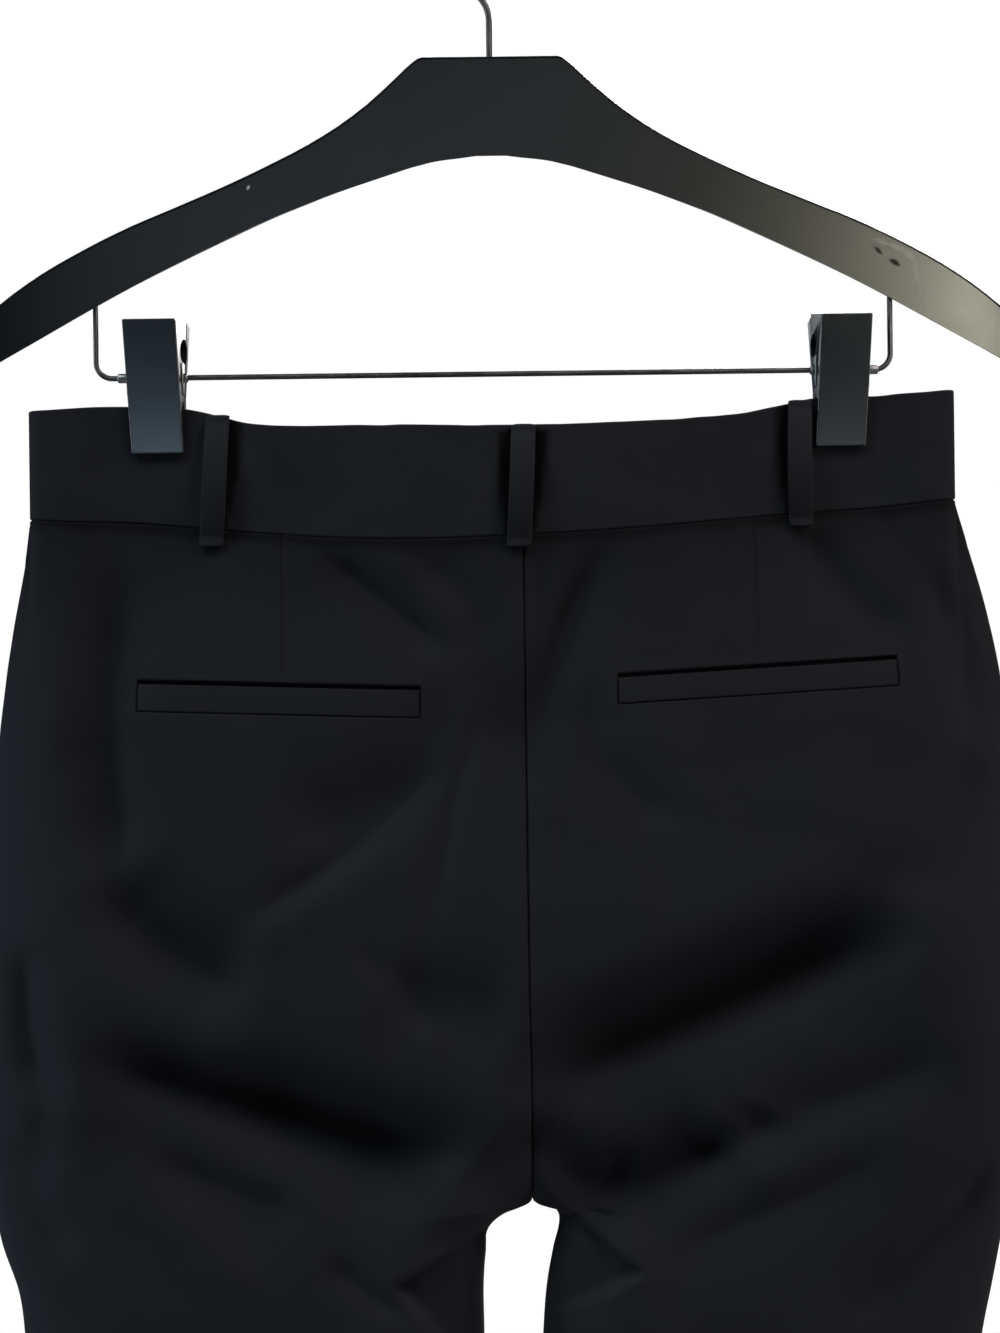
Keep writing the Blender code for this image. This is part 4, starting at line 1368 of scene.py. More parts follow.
@dataclass(frozen=True)
class TrouserForm:
    """The hanging form that every cloth piece lies on."""

    side_round: float = 58.0
    inner_round: float = 40.0
    rise_curve: float = 46.0
    round_power: float = 2.2
    seam_fade: float = 22.0
    band_end_round: float = 7.0

    def band_half_depth(self, x: Array) -> Array:
        """Distance of the band's outer face from the middle plane, closing at both ends.

        Args:
            x: Places across.

        Returns:
            The distance at each place.
        """
        from_end = np.minimum(x - BAND_START, BAND_END - x)
        t = np.clip(1 - from_end / self.band_end_round, 0, 1)
        return BAND.read("half_depth", x) * np.sqrt(1 - t**2)

    def outer_x(self, side: Side, z: Array) -> Array:
        """The outseam's place at each height."""
        return LEVELS.read(side.word, z)

    def inner_x(self, side: Side, face: Face, z: Array) -> Array:
        """The centre seam above the crotch, the inseam below.

        Args:
            side: Which leg.
            face: Back or front.
            z: Heights.

        Returns:
            The place at each height.
        """
        seam = CENTRE_SEAMS.read(face.word, z)
        inseam = INSEAMS.read(side.word, z)
        return np.where(z >= CROTCH_Z, seam, inseam)

    def pinch(self, z: Array) -> Array:
        """How far the form has given way to the band's own, from 0 to 1."""
        return ramp((z - PINCH_END_Z) / (BAND_SEAM_Z - PINCH_END_Z))

    def depth(self, side: Side, face: Face, x: Array, z: Array) -> Array:
        """Distance of the smooth form from the middle plane.

        Args:
            side: Which leg.
            face: Back or front.
            x: Places across.
            z: Heights.

        Returns:
            The distance, always positive.
        """
        full = LEVELS.read(face.word, z)
        t = np.clip(1 - np.abs(x - self.outer_x(side, z)) / self.side_round, 0, 1)
        outer = (1 - t**self.round_power) ** (1 / self.round_power)
        rise = np.clip((z - CROTCH_Z) / self.rise_curve, 0, 1)
        height = np.sqrt(1 - (1 - rise) ** 2)
        t = np.clip(1 - np.abs(x - self.inner_x(side, face, z)) / self.inner_round, 0, 1)
        closed = 1 - height**self.round_power
        inner = (1 - closed * t**self.round_power) ** (1 / self.round_power)
        pinch = self.pinch(z) ** 1.5
        return full * outer * inner * (1 - pinch) + self.band_half_depth(x) * pinch

    def fade(self, side: Side, face: Face, x: Array, z: Array) -> Array:
        """How much of a crease shows at each place: none on the seams that close the form.

        Args:
            side: Which leg.
            face: Back or front.
            x: Places across.
            z: Heights.

        Returns:
            A share from 0 to 1.
        """
        from_outer = np.abs(x - self.outer_x(side, z))
        from_inner = np.abs(x - self.inner_x(side, face, z))
        below = ramp((CROTCH_Z + self.rise_curve - z) / self.rise_curve)
        held = ramp(from_outer / self.seam_fade)
        held = held * (1 - below * (1 - ramp(from_inner / self.seam_fade)))
        return held * ramp((BAND_SEAM_Z - z) / 12.0)


FORM = TrouserForm()


# ---------------------------------------------------------------- cloth pieces


@dataclass(frozen=True)
class LegPanel:
    """One leg panel, from the band's seam to the turned-up hem."""

    side: Side
    face: Face
    creases: tuple[Crease, ...]
    wall: float = 1.2
    hem: float = 30.0
    edge: float = 0.55
    into_band: float = 0.55
    # Height of the small lumps all over.
    lump: float = 0.42
    # The inner seam: its groove's depth, its allowance's width and height, and its puckers.
    groove: float = 0.75
    allowance: float = 12.0
    ply: float = 0.22
    pucker: float = 0.16
    # The small pulls under the band, the hem's extra ply and the dent along its stitching.
    tension: float = 0.22
    hem_ply: float = 0.2
    hem_dent: float = 0.25

    @property
    def node(self) -> str:
        """Name of the solid that the panel stands for."""
        return f"leg_{self.face.word}_{self.side.word}"

    @property
    def pocket(self) -> Pocket | None:
        """The pocket in this panel, if it has one."""
        return POCKETS[self.side] if self.face is Face.BACK else None

    def anchors(self, z: float) -> tuple[list[float], list[float]]:
        """Places that the grid's columns follow at a height.

        Args:
            z: The height.

        Returns:
            Shares from 0 at the outseam to 1 at the inner edge, and the places there.
        """
        def span(height: float) -> tuple[float, float]:
            """The places of the outseam and the inner edge at a height."""
            at = np.array([height])
            return FORM.outer_x(self.side, at)[0], FORM.inner_x(self.side, self.face, at)[0]

        outer, inner = span(z)
        if not self.pocket:
            return [0.0, 1.0], [outer, inner]
        held = max(z, PINCH_END_Z + 8)
        held_outer, held_inner = span(held)
        middle_outer, middle_inner = span(self.pocket.middle[1])
        marks = [self.pocket.start[0], float(self.pocket.dart_x(np.array(held))),
                 self.pocket.end[0]]
        fixed = [self.pocket.start[0], self.pocket.dart_low, self.pocket.end[0]]
        if self.side is Side.RIGHT:
            marks, fixed = marks[::-1], fixed[::-1]
        shares = [(mark - middle_outer) / (middle_inner - middle_outer) for mark in fixed]
        places = [outer + (inner - outer) * (mark - held_outer) / (held_inner - held_outer)
                  for mark in marks]
        return [0.0, *shares, 1.0], [outer, *places, inner]

    def columns(self) -> Array:
        """Shares of the grid's columns, close together where a seam or fold needs it.

        Returns:
            The shares, from 0 at the outseam to 1 at the inner edge.
        """
        spots = [(0.0, 0.004, 0.001), (0.0, 0.02, 0.003), (0.0, 0.10, 0.007),
                 (1.0, 0.008, 0.0016), (1.0, 0.03, 0.004), (1.0, 0.14, 0.0085)]
        if self.pocket:
            shares, _ = self.anchors(self.pocket.middle[1])
            spots += [(share, 0.008, 0.002) for share in shares[1:-1]]
            return spaced(0, 1, 0.0118, spots)
        return spaced(0, 1, 0.0145, spots)

    def rows(self) -> Array:
        """Heights of the grid's rows, close together at seams, the welt and the crotch.

        Returns:
            The heights, from the band down.
        """
        step = 2.0 if self.face is Face.BACK else 2.6
        spots = [(-430, 190, step), (BAND_SEAM_Z, 1.0, 0.3), (HEM_Z, 1.0, 0.3),
                 (CROTCH_Z, 6, 0.8), (CROTCH_Z - 24, 24, 1.5)]
        if self.pocket:
            half = self.pocket.height / 2
            middle = self.pocket.middle[1]
            spots += [(middle + half, 2.0, 0.32), (middle - half, 1.1, 0.4)]
        return spaced(BAND_SEAM_Z, HEM_Z, 5.5, spots)

    def surface(self, shares: Array, z: Array, fine: bool) -> tuple[Array, Array]:
        """Points of the panel's outer face.

        Args:
            shares: The columns, from 0 at the outseam to 1 at the inner edge.
            z: The rows.
            fine: Whether the pocket's recess, the seams' grooves and the small lumps are cut in.

        Returns:
            Points by row and column, in millimetres, and the painted shade at each.
        """
        x = np.stack([np.interp(shares, *self.anchors(height)) for height in z])
        z = np.broadcast_to(z[:, None], x.shape)
        dip = (BAND.read("bottom", x) - GAP / 2 - BAND_SEAM_Z) * FORM.pinch(z)
        if self.pocket:
            hold = ramp((24 - np.abs(z - self.pocket.middle[1])) / 14)
            reach = np.clip(x, self.pocket.start[0] - 8, self.pocket.end[0] + 8)
            tilt = self.pocket.slope * (reach - self.pocket.middle[0])
            level = z + dip * (1 - hold) + tilt * hold
        else:
            level = z + dip
        out = FORM.depth(self.side, self.face, x, z)
        shift, hollow = map(sum, zip(*(crease.relief(x, level) for crease in self.creases)))
        if self.face is Face.BACK:
            shift = shift + TUCKS[self.side].relief(x, level)
        fade = FORM.fade(self.side, self.face, x, z)
        seed = 11 if self.face is Face.BACK else 23
        wide, small = soft_noise(x, level, 31, seed), soft_noise(x, level, 13, seed + 1)
        out = out + (shift + self.lump * (wide + 0.55 * small)) * fade
        if fine:
            out = out + self.seams(x, level, z)
            if self.pocket:
                out = out + self.pocket.relief(x, level)
        points = np.stack([x, self.face.value * np.maximum(out, GAP / 2), level], axis=-1)
        ragged = 1.2 * soft_noise(x, 0 * x, 23, 51) + 0.7 * soft_noise(x, 0 * x, 5, 52)
        # Painted shade: a ragged dark strip close under the band, and a painted darkening of the
        # back's upper part.
        hollow = hollow * fade + swell(BAND_SEAM_Z - z, 2.6 + ragged, 1.4)
        hollow = hollow + 0.4 * ramp((z + 400) / 110) * (self.face is Face.BACK)
        return points, np.clip(hollow, 0, 1)

    def seams(self, x: Array, level: Array, z: Array) -> Array:
        """The pressed-open allowances, puckers and small creases beside the seams.

        Args:
            x: Places across.
            level: Heights of the points.
            z: Heights of their rows.

        Returns:
            The move outwards at each place.
        """
        from_inner = np.abs(x - FORM.inner_x(self.side, self.face, z))
        above = ramp((z - CROTCH_Z - 2) / 8)
        groove = -self.groove * swell(from_inner, 1.0, 1.5) * above
        allowance = self.ply * ramp((self.allowance - from_inner) / 2.0) * above
        pucker = self.pucker * soft_noise(level, from_inner * 0.3, 5.5, 5) * swell(from_inner, 7)
        from_band = BAND_SEAM_Z - z
        tension = self.tension * soft_noise(x, z * 0.25, 7, 9) * swell(from_band, 7)
        tension = tension * ramp(from_band / 2.5)
        hem = self.hem_ply * ramp((HEM_Z + self.hem - z) / 2.0)
        dent = -self.hem_dent * swell(z - HEM_Z - self.hem, 1.4)
        return groove + allowance + pucker * above + tension + hem + dent

    def build(self) -> Obj:
        """Lays the panel on the form as a thin shell.

        Returns:
            The panel.
        """
        shares, z = self.columns(), self.rows()
        outer, hollow = self.surface(shares, z, fine=True)
        plain, _ = self.surface(shares, z, fine=False)
        normals = grid_normals(plain, self.face.value)
        # The cloth is thicker behind the welt and in the hem.
        wall = np.full(outer.shape[:2], self.wall)
        if self.pocket:
            above, inside = self.pocket.down_line(outer[..., 0], outer[..., 2])
            wall += 2.6 * inside * ramp((self.pocket.height / 2 + 3 - np.abs(above)) / 2)
        wall += 1.1 * ramp((HEM_Z + self.hem - z) / 1.5)[:, None]
        inner = plain - normals * wall[..., None]
        self.close(outer, inner, z)
        outer = outer - normals * rounded_drop(outer, self.edge)
        self.close(outer, inner, z)
        outer[0] -= normals[0] * 0.35
        outer[0, :, 2] += self.into_band
        inner[0, :, 2] = outer[0, :, 2]
        obj = shell(f"{self.node}_cloth", outer, inner, hollow)
        return dress(obj, TWILL, self.node)

    def close(self, outer: Array, inner: Array, z: Array) -> None:
        """Ends both faces in the planes where neighbouring panels meet.

        Args:
            outer: The outer face, changed in place.
            inner: The inner face, changed in place.
            z: Heights of the rows.
        """
        sign = self.face.value
        below = z <= CROTCH_Z
        apart = self.side.value * GAP / 2 * ramp((z - CROTCH_Z - 4) / 5)
        seam = CENTRE_SEAMS.read(self.face.word, z) + apart
        for grid in (outer, inner):
            grid[:, 0, 1] = sign * SEAM_GAP / 2
            grid[..., 1] = sign * np.maximum(sign * grid[..., 1], SEAM_GAP / 2)
            grid[below, -1, 1] = sign * SEAM_GAP / 2
            grid[~below, -1, 0] = seam[~below]
            held = grid[~below, :, 0]
            limit = seam[~below, None]
            past = np.maximum(held, limit) if self.side is Side.RIGHT else np.minimum(held, limit)
            grid[~below, :, 0] = past
        inner[0, :, 2] = outer[0, :, 2]
        inner[-1, :, 2] = outer[-1, :, 2]


@dataclass(frozen=True)
class PocketWelt:
    """The folded welt that closes a back pocket, lying in the panel's recess."""

    panel: LegPanel
    wall: float = 1.1
    proud: float = 0.12
    crown: float = 0.22
    inset: float = 0.35

    def build(self) -> Obj:
        """Lays the welt in its recess.

        Returns:
            The welt.
        """
        pocket = self.panel.pocket
        shares, places = self.panel.anchors(pocket.middle[1])
        start, end = pocket.start[0] + self.inset, pocket.end[0] - self.inset
        x = spaced(start, end, 1.8, [(start, 1.2, 0.25), (end, 1.2, 0.25)])
        order = np.argsort(places)
        at = np.interp(x, np.array(places)[order], np.array(shares)[order])
        half = pocket.height / 2
        top, low = half - pocket.slit, -half + 0.25
        across = spaced(top, low, 1.0, [(top, 1.2, 0.2), (low, 0.8, 0.2)])
        base, _ = self.panel.surface(at, pocket.middle[1] + across, fine=False)
        normals = grid_normals(base, self.panel.face.value)
        middle = np.cos(np.linspace(-1, 1, len(across)) * math.pi / 2)[:, None]
        slack = 0.16 * soft_noise(base[..., 0], base[..., 2], 17, 31)
        lift = self.proud + self.crown * middle + slack * middle
        outer = base + normals * lift[..., None]
        # The whole welt gets a little painted shade.
        obj = rounded_shell(f"{pocket.node}_cloth", outer, self.wall, self.panel.face.value,
                            0.5, 0.3)
        return dress(obj, TWILL, pocket.node)


@dataclass(frozen=True)
class BandPiece:
    """A stretch of waistband, folded over along its top edge."""

    node: str
    start: float
    end: float
    face: Face
    tab: float = 0.0
    tab_turn: float = 9.0
    wall: float = 2.2
    turned: float = 1.0

    def build(self) -> Obj:
        """Lays the stretch round the form.

        Returns:
            The stretch.
        """
        spots = [(self.start, 1.2, 0.25), (self.end, 1.2, 0.25), (self.start, 8, 0.9),
                 (self.end, 8, 0.9)]
        x = spaced(self.start, self.end, 2.2, spots)
        share = spaced(0, 1, 0.04, [(0, 0.03, 0.005), (1, 0.025, 0.005)])[:, None]
        ripple = 0.28 * soft_noise(x, 0 * x + self.face.value * 40, 9, 41)
        ripple += 0.35 * soft_noise(x, 0 * x, 26, 42)
        ends = ramp(np.minimum(x - self.start, self.end - x) / 6)
        top = BAND.read("top", x) + ripple * ends
        bottom = BAND.read("bottom", x) + GAP / 2
        z = top + (bottom - top) * share
        lift = 0.0
        if self.tab:
            lift = (self.wall + GAP + 0.1) * ramp((self.start + self.tab + self.tab_turn - x)
                                                  / self.tab_turn)
        x = np.broadcast_to(x, z.shape)
        lumps = 0.3 * soft_noise(x, z, 19, 43) + 0.2 * soft_noise(x, z, 8, 44)
        slack = ramp(share / 0.12) * ramp((1 - share) / 0.12)
        out = np.maximum(FORM.band_half_depth(x) + lift + lumps * slack * ends, GAP / 2)
        outer = np.stack([x, self.face.value * out, z], axis=-1)
        normals = grid_normals(outer, self.face.value)
        drop = rounded_drop(outer, self.turned) * 0.8
        inner = outer - normals * (self.wall - drop * 0.6)
        outer = outer - normals * drop
        for grid in (outer, inner):
            grid[..., 1] = self.face.value * np.maximum(self.face.value * grid[..., 1], GAP / 2)
        inner[..., 2] = outer[..., 2]
        if self.start > BAND_START:
            inner[:, 0, 0] = outer[:, 0, 0]
        if self.end < BAND_END:
            inner[:, -1, 0] = outer[:, -1, 0]
        # Painted shade: a slight even darkening of the band, and painted shadows beside the belt
        # loops.
        hollow = 0.1 + sum(loop.shade(x, z) for loop in LOOPS if loop.face is self.face)
        return dress(shell(f"{self.node}_cloth", outer, inner, hollow), TWILL, self.node)


@dataclass(frozen=True)
class BeltLoop:
    """A folded strip sewn down at the band's top and below its seam, standing off between."""

    node: str
    x_top: float
    x_bottom: float
    z_bottom: float
    face: Face
    width: float = 9.8
    stand: float = 7.0
    lift: float = 0.45
    sewn: float = 0.075
    wall: float = 1.7
    # How far the painted shadow beside the loop reaches out from its edge, most near the top.
    gap: float = 5.6

    def shade(self, x: Array, z: Array) -> Array:
        """The painted shadow that the loop's standing edge casts on the band beside it.

        Args:
            x: Places across the band.
            z: Heights on the band.

        Returns:
            The painted shadow at each place, from 0 to 1.
        """
        top = BAND.read("top", np.array([self.x_top]))[0]
        share = np.clip((top - z) / (top - self.z_bottom), 0, 1)
        middle = self.x_top + (self.x_bottom - self.x_top) * share
        reach = self.width / 2 + self.gap * (1 - share**3) * ramp(share / 0.07)
        sides = (-1, 1) if abs(self.x_top) < 50 else (-1,) if self.x_top > 0 else (1,)
        away = [side * (x - middle) for side in sides]
        return 1.4 * sum(ramp((reach - far) / 2.2) * (far > 0) for far in away)

    def build(self, carriers: list[Obj]) -> Obj:
        """Folds the loop and lays it on what carries it.

        Args:
            carriers: The cloth pieces that it is sewn to.

        Returns:
            The loop's object.
        """
        t = spaced(0, 1, 0.03, [(0, 0.03, 0.006), (1, 0.03, 0.006)])[:, None]
        across = spaced(-0.5, 0.5, 0.11, [(-0.5, 0.09, 0.025), (0.5, 0.09, 0.025)])
        top = BAND.read("top", np.array([self.x_top]))[0] + 0.5
        bow = np.clip((t - self.sewn) / (1 - 2 * self.sewn), 0, 1)
        stand = self.stand * np.sin(np.pi * bow**0.85) ** 0.8
        # It leans towards the middle as it stands off, and isn't quite straight.
        middle = (self.x_top + (self.x_bottom - self.x_top) * t) * (1 - stand / 800)
        x = middle + 0.12 * np.sin(t * 5.1 + self.x_top) + self.width * across
        corner = np.abs(2 * across) ** 5
        ends = ramp((0.04 - t) / 0.04) - ramp((t - 0.96) / 0.04)
        z = top + (self.z_bottom - top) * t - 0.6 * corner * ends
        trees = [tree_of(obj) for obj in carriers]
        under = np.full(x.shape, -np.inf)
        for index in np.ndindex(x.shape):
            for tree in trees:
                for aside in (-2.5, -0.6, 0.5):
                    out = height_on(tree, x[index], z[index] + aside, self.face.value)
                    if out is not None:
                        under[index] = max(under[index], out)
        found = np.isfinite(under)
        for column in range(x.shape[1]):
            held = found[:, column]
            under[:, column] = np.interp(t[:, 0], t[held, 0], under[held, column])
        under = (under.max(axis=1, keepdims=True) + under) / 2
        crown = 0.35 * (1 - (2 * across) ** 2)
        turned = -0.9 * ramp((0.03 - t) / 0.03)
        out = under + self.lift + self.wall + stand + crown + turned
        outer = np.stack([x, self.face.value * out, z], axis=-1)
        obj = rounded_shell(f"{self.node}_cloth", outer, self.wall, self.face.value, 0.6)
        return dress(obj, TWILL, self.node)


LOOPS = (
    BeltLoop("belt_loop_back_left", -109.5, -113, -262.9, Face.BACK),
    BeltLoop("belt_loop_back_centre", 11.7, 9.3, -264.8, Face.BACK),
    BeltLoop("belt_loop_back_right", 121.6, 121.5, -257.6, Face.BACK),
    BeltLoop("belt_loop_front_left", -92.0, -92.0, -264.0, Face.FRONT),
    BeltLoop("belt_loop_front_right", 92.0, 92.0, -261.0, Face.FRONT),
)


@dataclass(frozen=True)
class StitchRun:
    """A row of stitches, each a small capsule of thread lying along a line on the cloth."""

    name: str
    length: float = 2.0
    radius: float = 0.22
    sides: int = 6

    def build(self, starts: Array, ends: Array) -> Obj:
        """The stitches as one object.

        Args:
            starts: Where each stitch leaves the cloth, one row a stitch.
            ends: Where it goes in again.

        Returns:
            The object.
        """
        # Shares along a stitch, and how thick it is there.
        rings = ((0.0, 0.25), (0.12, 0.8), (0.35, 1.0), (0.65, 1.0), (0.88, 0.8), (1.0, 0.25))
        points, faces = [], []
        for a, b in zip(starts, ends):
            run = b - a
            run /= np.linalg.norm(run)
            aside = np.cross(run, (0.3, 0.9, 0.31))
            aside /= np.linalg.norm(aside)
            other = np.cross(run, aside)
            base = len(points)
            for share, wide in rings:
                for k in range(self.sides):
                    turn = math.tau * k / self.sides
                    spoke = aside * math.cos(turn) + other * math.sin(turn)
                    points.append(a + (b - a) * share + spoke * self.radius * wide)
            for ring in range(len(rings) - 1):
                for k in range(self.sides):
                    m = (k + 1) % self.sides
                    low, high = base + ring * self.sides, base + (ring + 1) * self.sides
                    faces.append((low + k, low + m, high + m, high + k))
            faces.append(tuple(base + k for k in range(self.sides))[::-1])
            last = base + (len(rings) - 1) * self.sides
            faces.append(tuple(last + k for k in range(self.sides)))
        obj = mesh_object(self.name, np.array(points), faces)
        tidy_normals(obj)
        return dress(obj, THREAD)

    def along(self, places: Array, pitch: float, tree: BVHTree, outward: float) -> Obj:
        """Stitches every `pitch` along a line of (x, z) places, laid on a piece.

        Args:
            places: The line's corners.
            pitch: From the start of one stitch to the next.
            tree: Faces of the piece that carries them.
            outward: The sign of Y on which they show.

        Returns:
            The object.
        """
        lengths = np.linalg.norm(np.diff(places, axis=0), axis=1)
        walked = np.concatenate([[0.0], np.cumsum(lengths)])
        begin = np.arange(0, walked[-1] - self.length, pitch)
        starts, ends = [], []
        for at in begin:
            pair = []
            for place in (at, at + self.length):
                x, z = (np.interp(place, walked, places[:, k]) for k in (0, 1))
                out = height_on(tree, float(x), float(z), outward)
                if out is not None:
                    pair.append((x, outward * (out + self.radius * 0.3), z))
            if len(pair) == 2:
                starts.append(pair[0])
                ends.append(pair[1])
        return self.build(np.array(starts), np.array(ends))


@dataclass(frozen=True)
class Fly:
    """Zip tape, teeth, slider and shield behind the centre front, and the curved stitching."""

    top_z: float = -262.0
    bottom_z: float = -398.0
    shield_half: float = 19.0
    tape_half: float = 12.0
    tape_wall: float = 1.2
    behind: float = 0.5
    slider_z: float = -266.0
    slider_length: float = 12.0
    slider_room: float = 3.4
    tooth_pitch: float = 2.2
    # The topstitching: how far beside the seam it starts, the height where it turns in, how far
    # in and down it goes from there, and the length from one stitch to the next.
    stitch_beside: float = 31.0
    stitch_turn: float = -360.0
    stitch_in: float = 27.0
    stitch_down: float = 34.0
    stitch_pitch: float = 2.9

    def strip(self, name: str, node: str, half: float, behind: float, trees: list[BVHTree],
              finish: Finish) -> Obj:
        """One flat strip behind the fly, bowed in where the slider needs room.

        Args:
            name: The object's name.
            node: The solid that it stands for.
            half: Half its width.
            behind: How far behind the front panels it lies.
            trees: Faces of the front panels.
            finish: Its finish.

        Returns:
            The strip.
        """
        z = np.linspace(self.top_z, self.bottom_z, 70)[:, None]
        across = np.linspace(-half, half, 19)
        x = CENTRE_SEAMS.read("front", z) + across
        z = np.broadcast_to(z, x.shape)
        out = self.inside(trees, x, z) - behind - self.slider_bow(z)
        outer = np.stack([x, out, z], axis=-1)
        obj = rounded_shell(name, outer, self.tape_wall, 1.0, 0.3)
        return dress(obj, finish, node)

    def slider_bow(self, z: Array) -> Array:
        """How far the strips bow in to clear the slider."""
        return self.slider_room * ramp((z - (self.slider_z - self.slider_length - 22)) / 20)

    def inside(self, trees: list[BVHTree], x: Array, z: Array) -> Array:
        """How far out the front panels' inner faces lie, the nearer one at the seam.

        Args:
            trees: Faces of the front panels.
            x: Places across.
            z: Heights.

        Returns:
            The distance at each place.
        """
        found = np.full(x.shape, np.inf)
        for index in np.ndindex(x.shape):
            for tree in trees:
                for aside in (-1.0, 0.0, 1.0):
                    start = Vector((x[index] + aside, 0, z[index]))
                    hit = tree.ray_cast(start, Vector((0, 1, 0)))[0]
                    if hit:
                        found[index] = min(found[index], hit.y)
        evened = found.copy()
        evened[1:-1] = (found[:-2] + found[1:-1] + found[2:]) / 3
        return np.minimum(evened, found)

    def teeth(self, trees: list[BVHTree]) -> Obj:
        """The closed row of metal teeth on the tape.

        Args:
            trees: Faces of the front panels.

        Returns:
            The teeth as one object.
        """
        z = np.arange(self.slider_z - self.slider_length - 2, self.bottom_z + 6, -self.tooth_pitch)
        x = CENTRE_SEAMS.read("front", z)
        depth = self.inside(trees, x[:, None], z[:, None])[:, 0] - self.behind - self.slider_bow(z)
        box = np.array([(a, b, c) for a in (-1, 1) for b in (-1, 1) for c in (-1, 1)], float)
        quads = ((0, 1, 3, 2), (4, 6, 7, 5), (0, 4, 5, 1), (2, 3, 7, 6), (0, 2, 6, 4), (1, 5, 7, 3))
        points, faces = [], []
        for k, place in enumerate(zip(x, depth - self.tape_wall, z)):
            shift = np.array((1.0 if k % 2 else -1.0, -0.35, 0.0))
            base = len(points)
            points += list(np.array(place) + shift + box * (1.9, 0.6, 0.75))
            faces += [tuple(base + corner for corner in quad) for quad in quads]
        obj = mesh_object("zip_teeth", np.array(points), faces)
        tidy_normals(obj)
        bevel(obj, 0.2, 2)
        return dress(obj, ZIP_METAL)

    def build(self, fronts: list[Obj]) -> tuple[Obj, Obj]:
        """Builds the tape, the shield and the teeth.

        Args:
            fronts: The two front panels.

        Returns:
            The tape and the shield.
        """
        trees = [tree_of(obj) for obj in fronts]
        tape = self.strip("zip_tape_woven", "zip_tape", self.tape_half, self.behind, trees, TAPE)
        shield = self.strip("fly_shield_cloth", "fly_shield", self.shield_half,
                            2 * self.behind + self.tape_wall, trees, TWILL)
        self.teeth(trees)
        return tape, shield

    def topstitch(self, front: Obj) -> Obj:
        """The curved row of stitches that shows beside the fly.

        Args:
            front: The front panel that carries it.

        Returns:
            The stitches.
        """
        curve = self.stitch_down * np.sin(np.linspace(0, 1, 14) * math.pi / 2)
        straight = np.linspace(self.top_z, self.stitch_turn, 30)
        z = np.concatenate([straight, self.stitch_turn - curve])
        turned = self.stitch_in * ramp((self.stitch_turn + 8 - z) / 44) ** 1.5
        x = CENTRE_SEAMS.read("front", z) + self.stitch_beside - turned
        line = np.stack([x, z], axis=1)
        return StitchRun("fly_stitching").along(line, self.stitch_pitch, tree_of(front), 1.0)


# ---------------------------------------------------------------- hanger


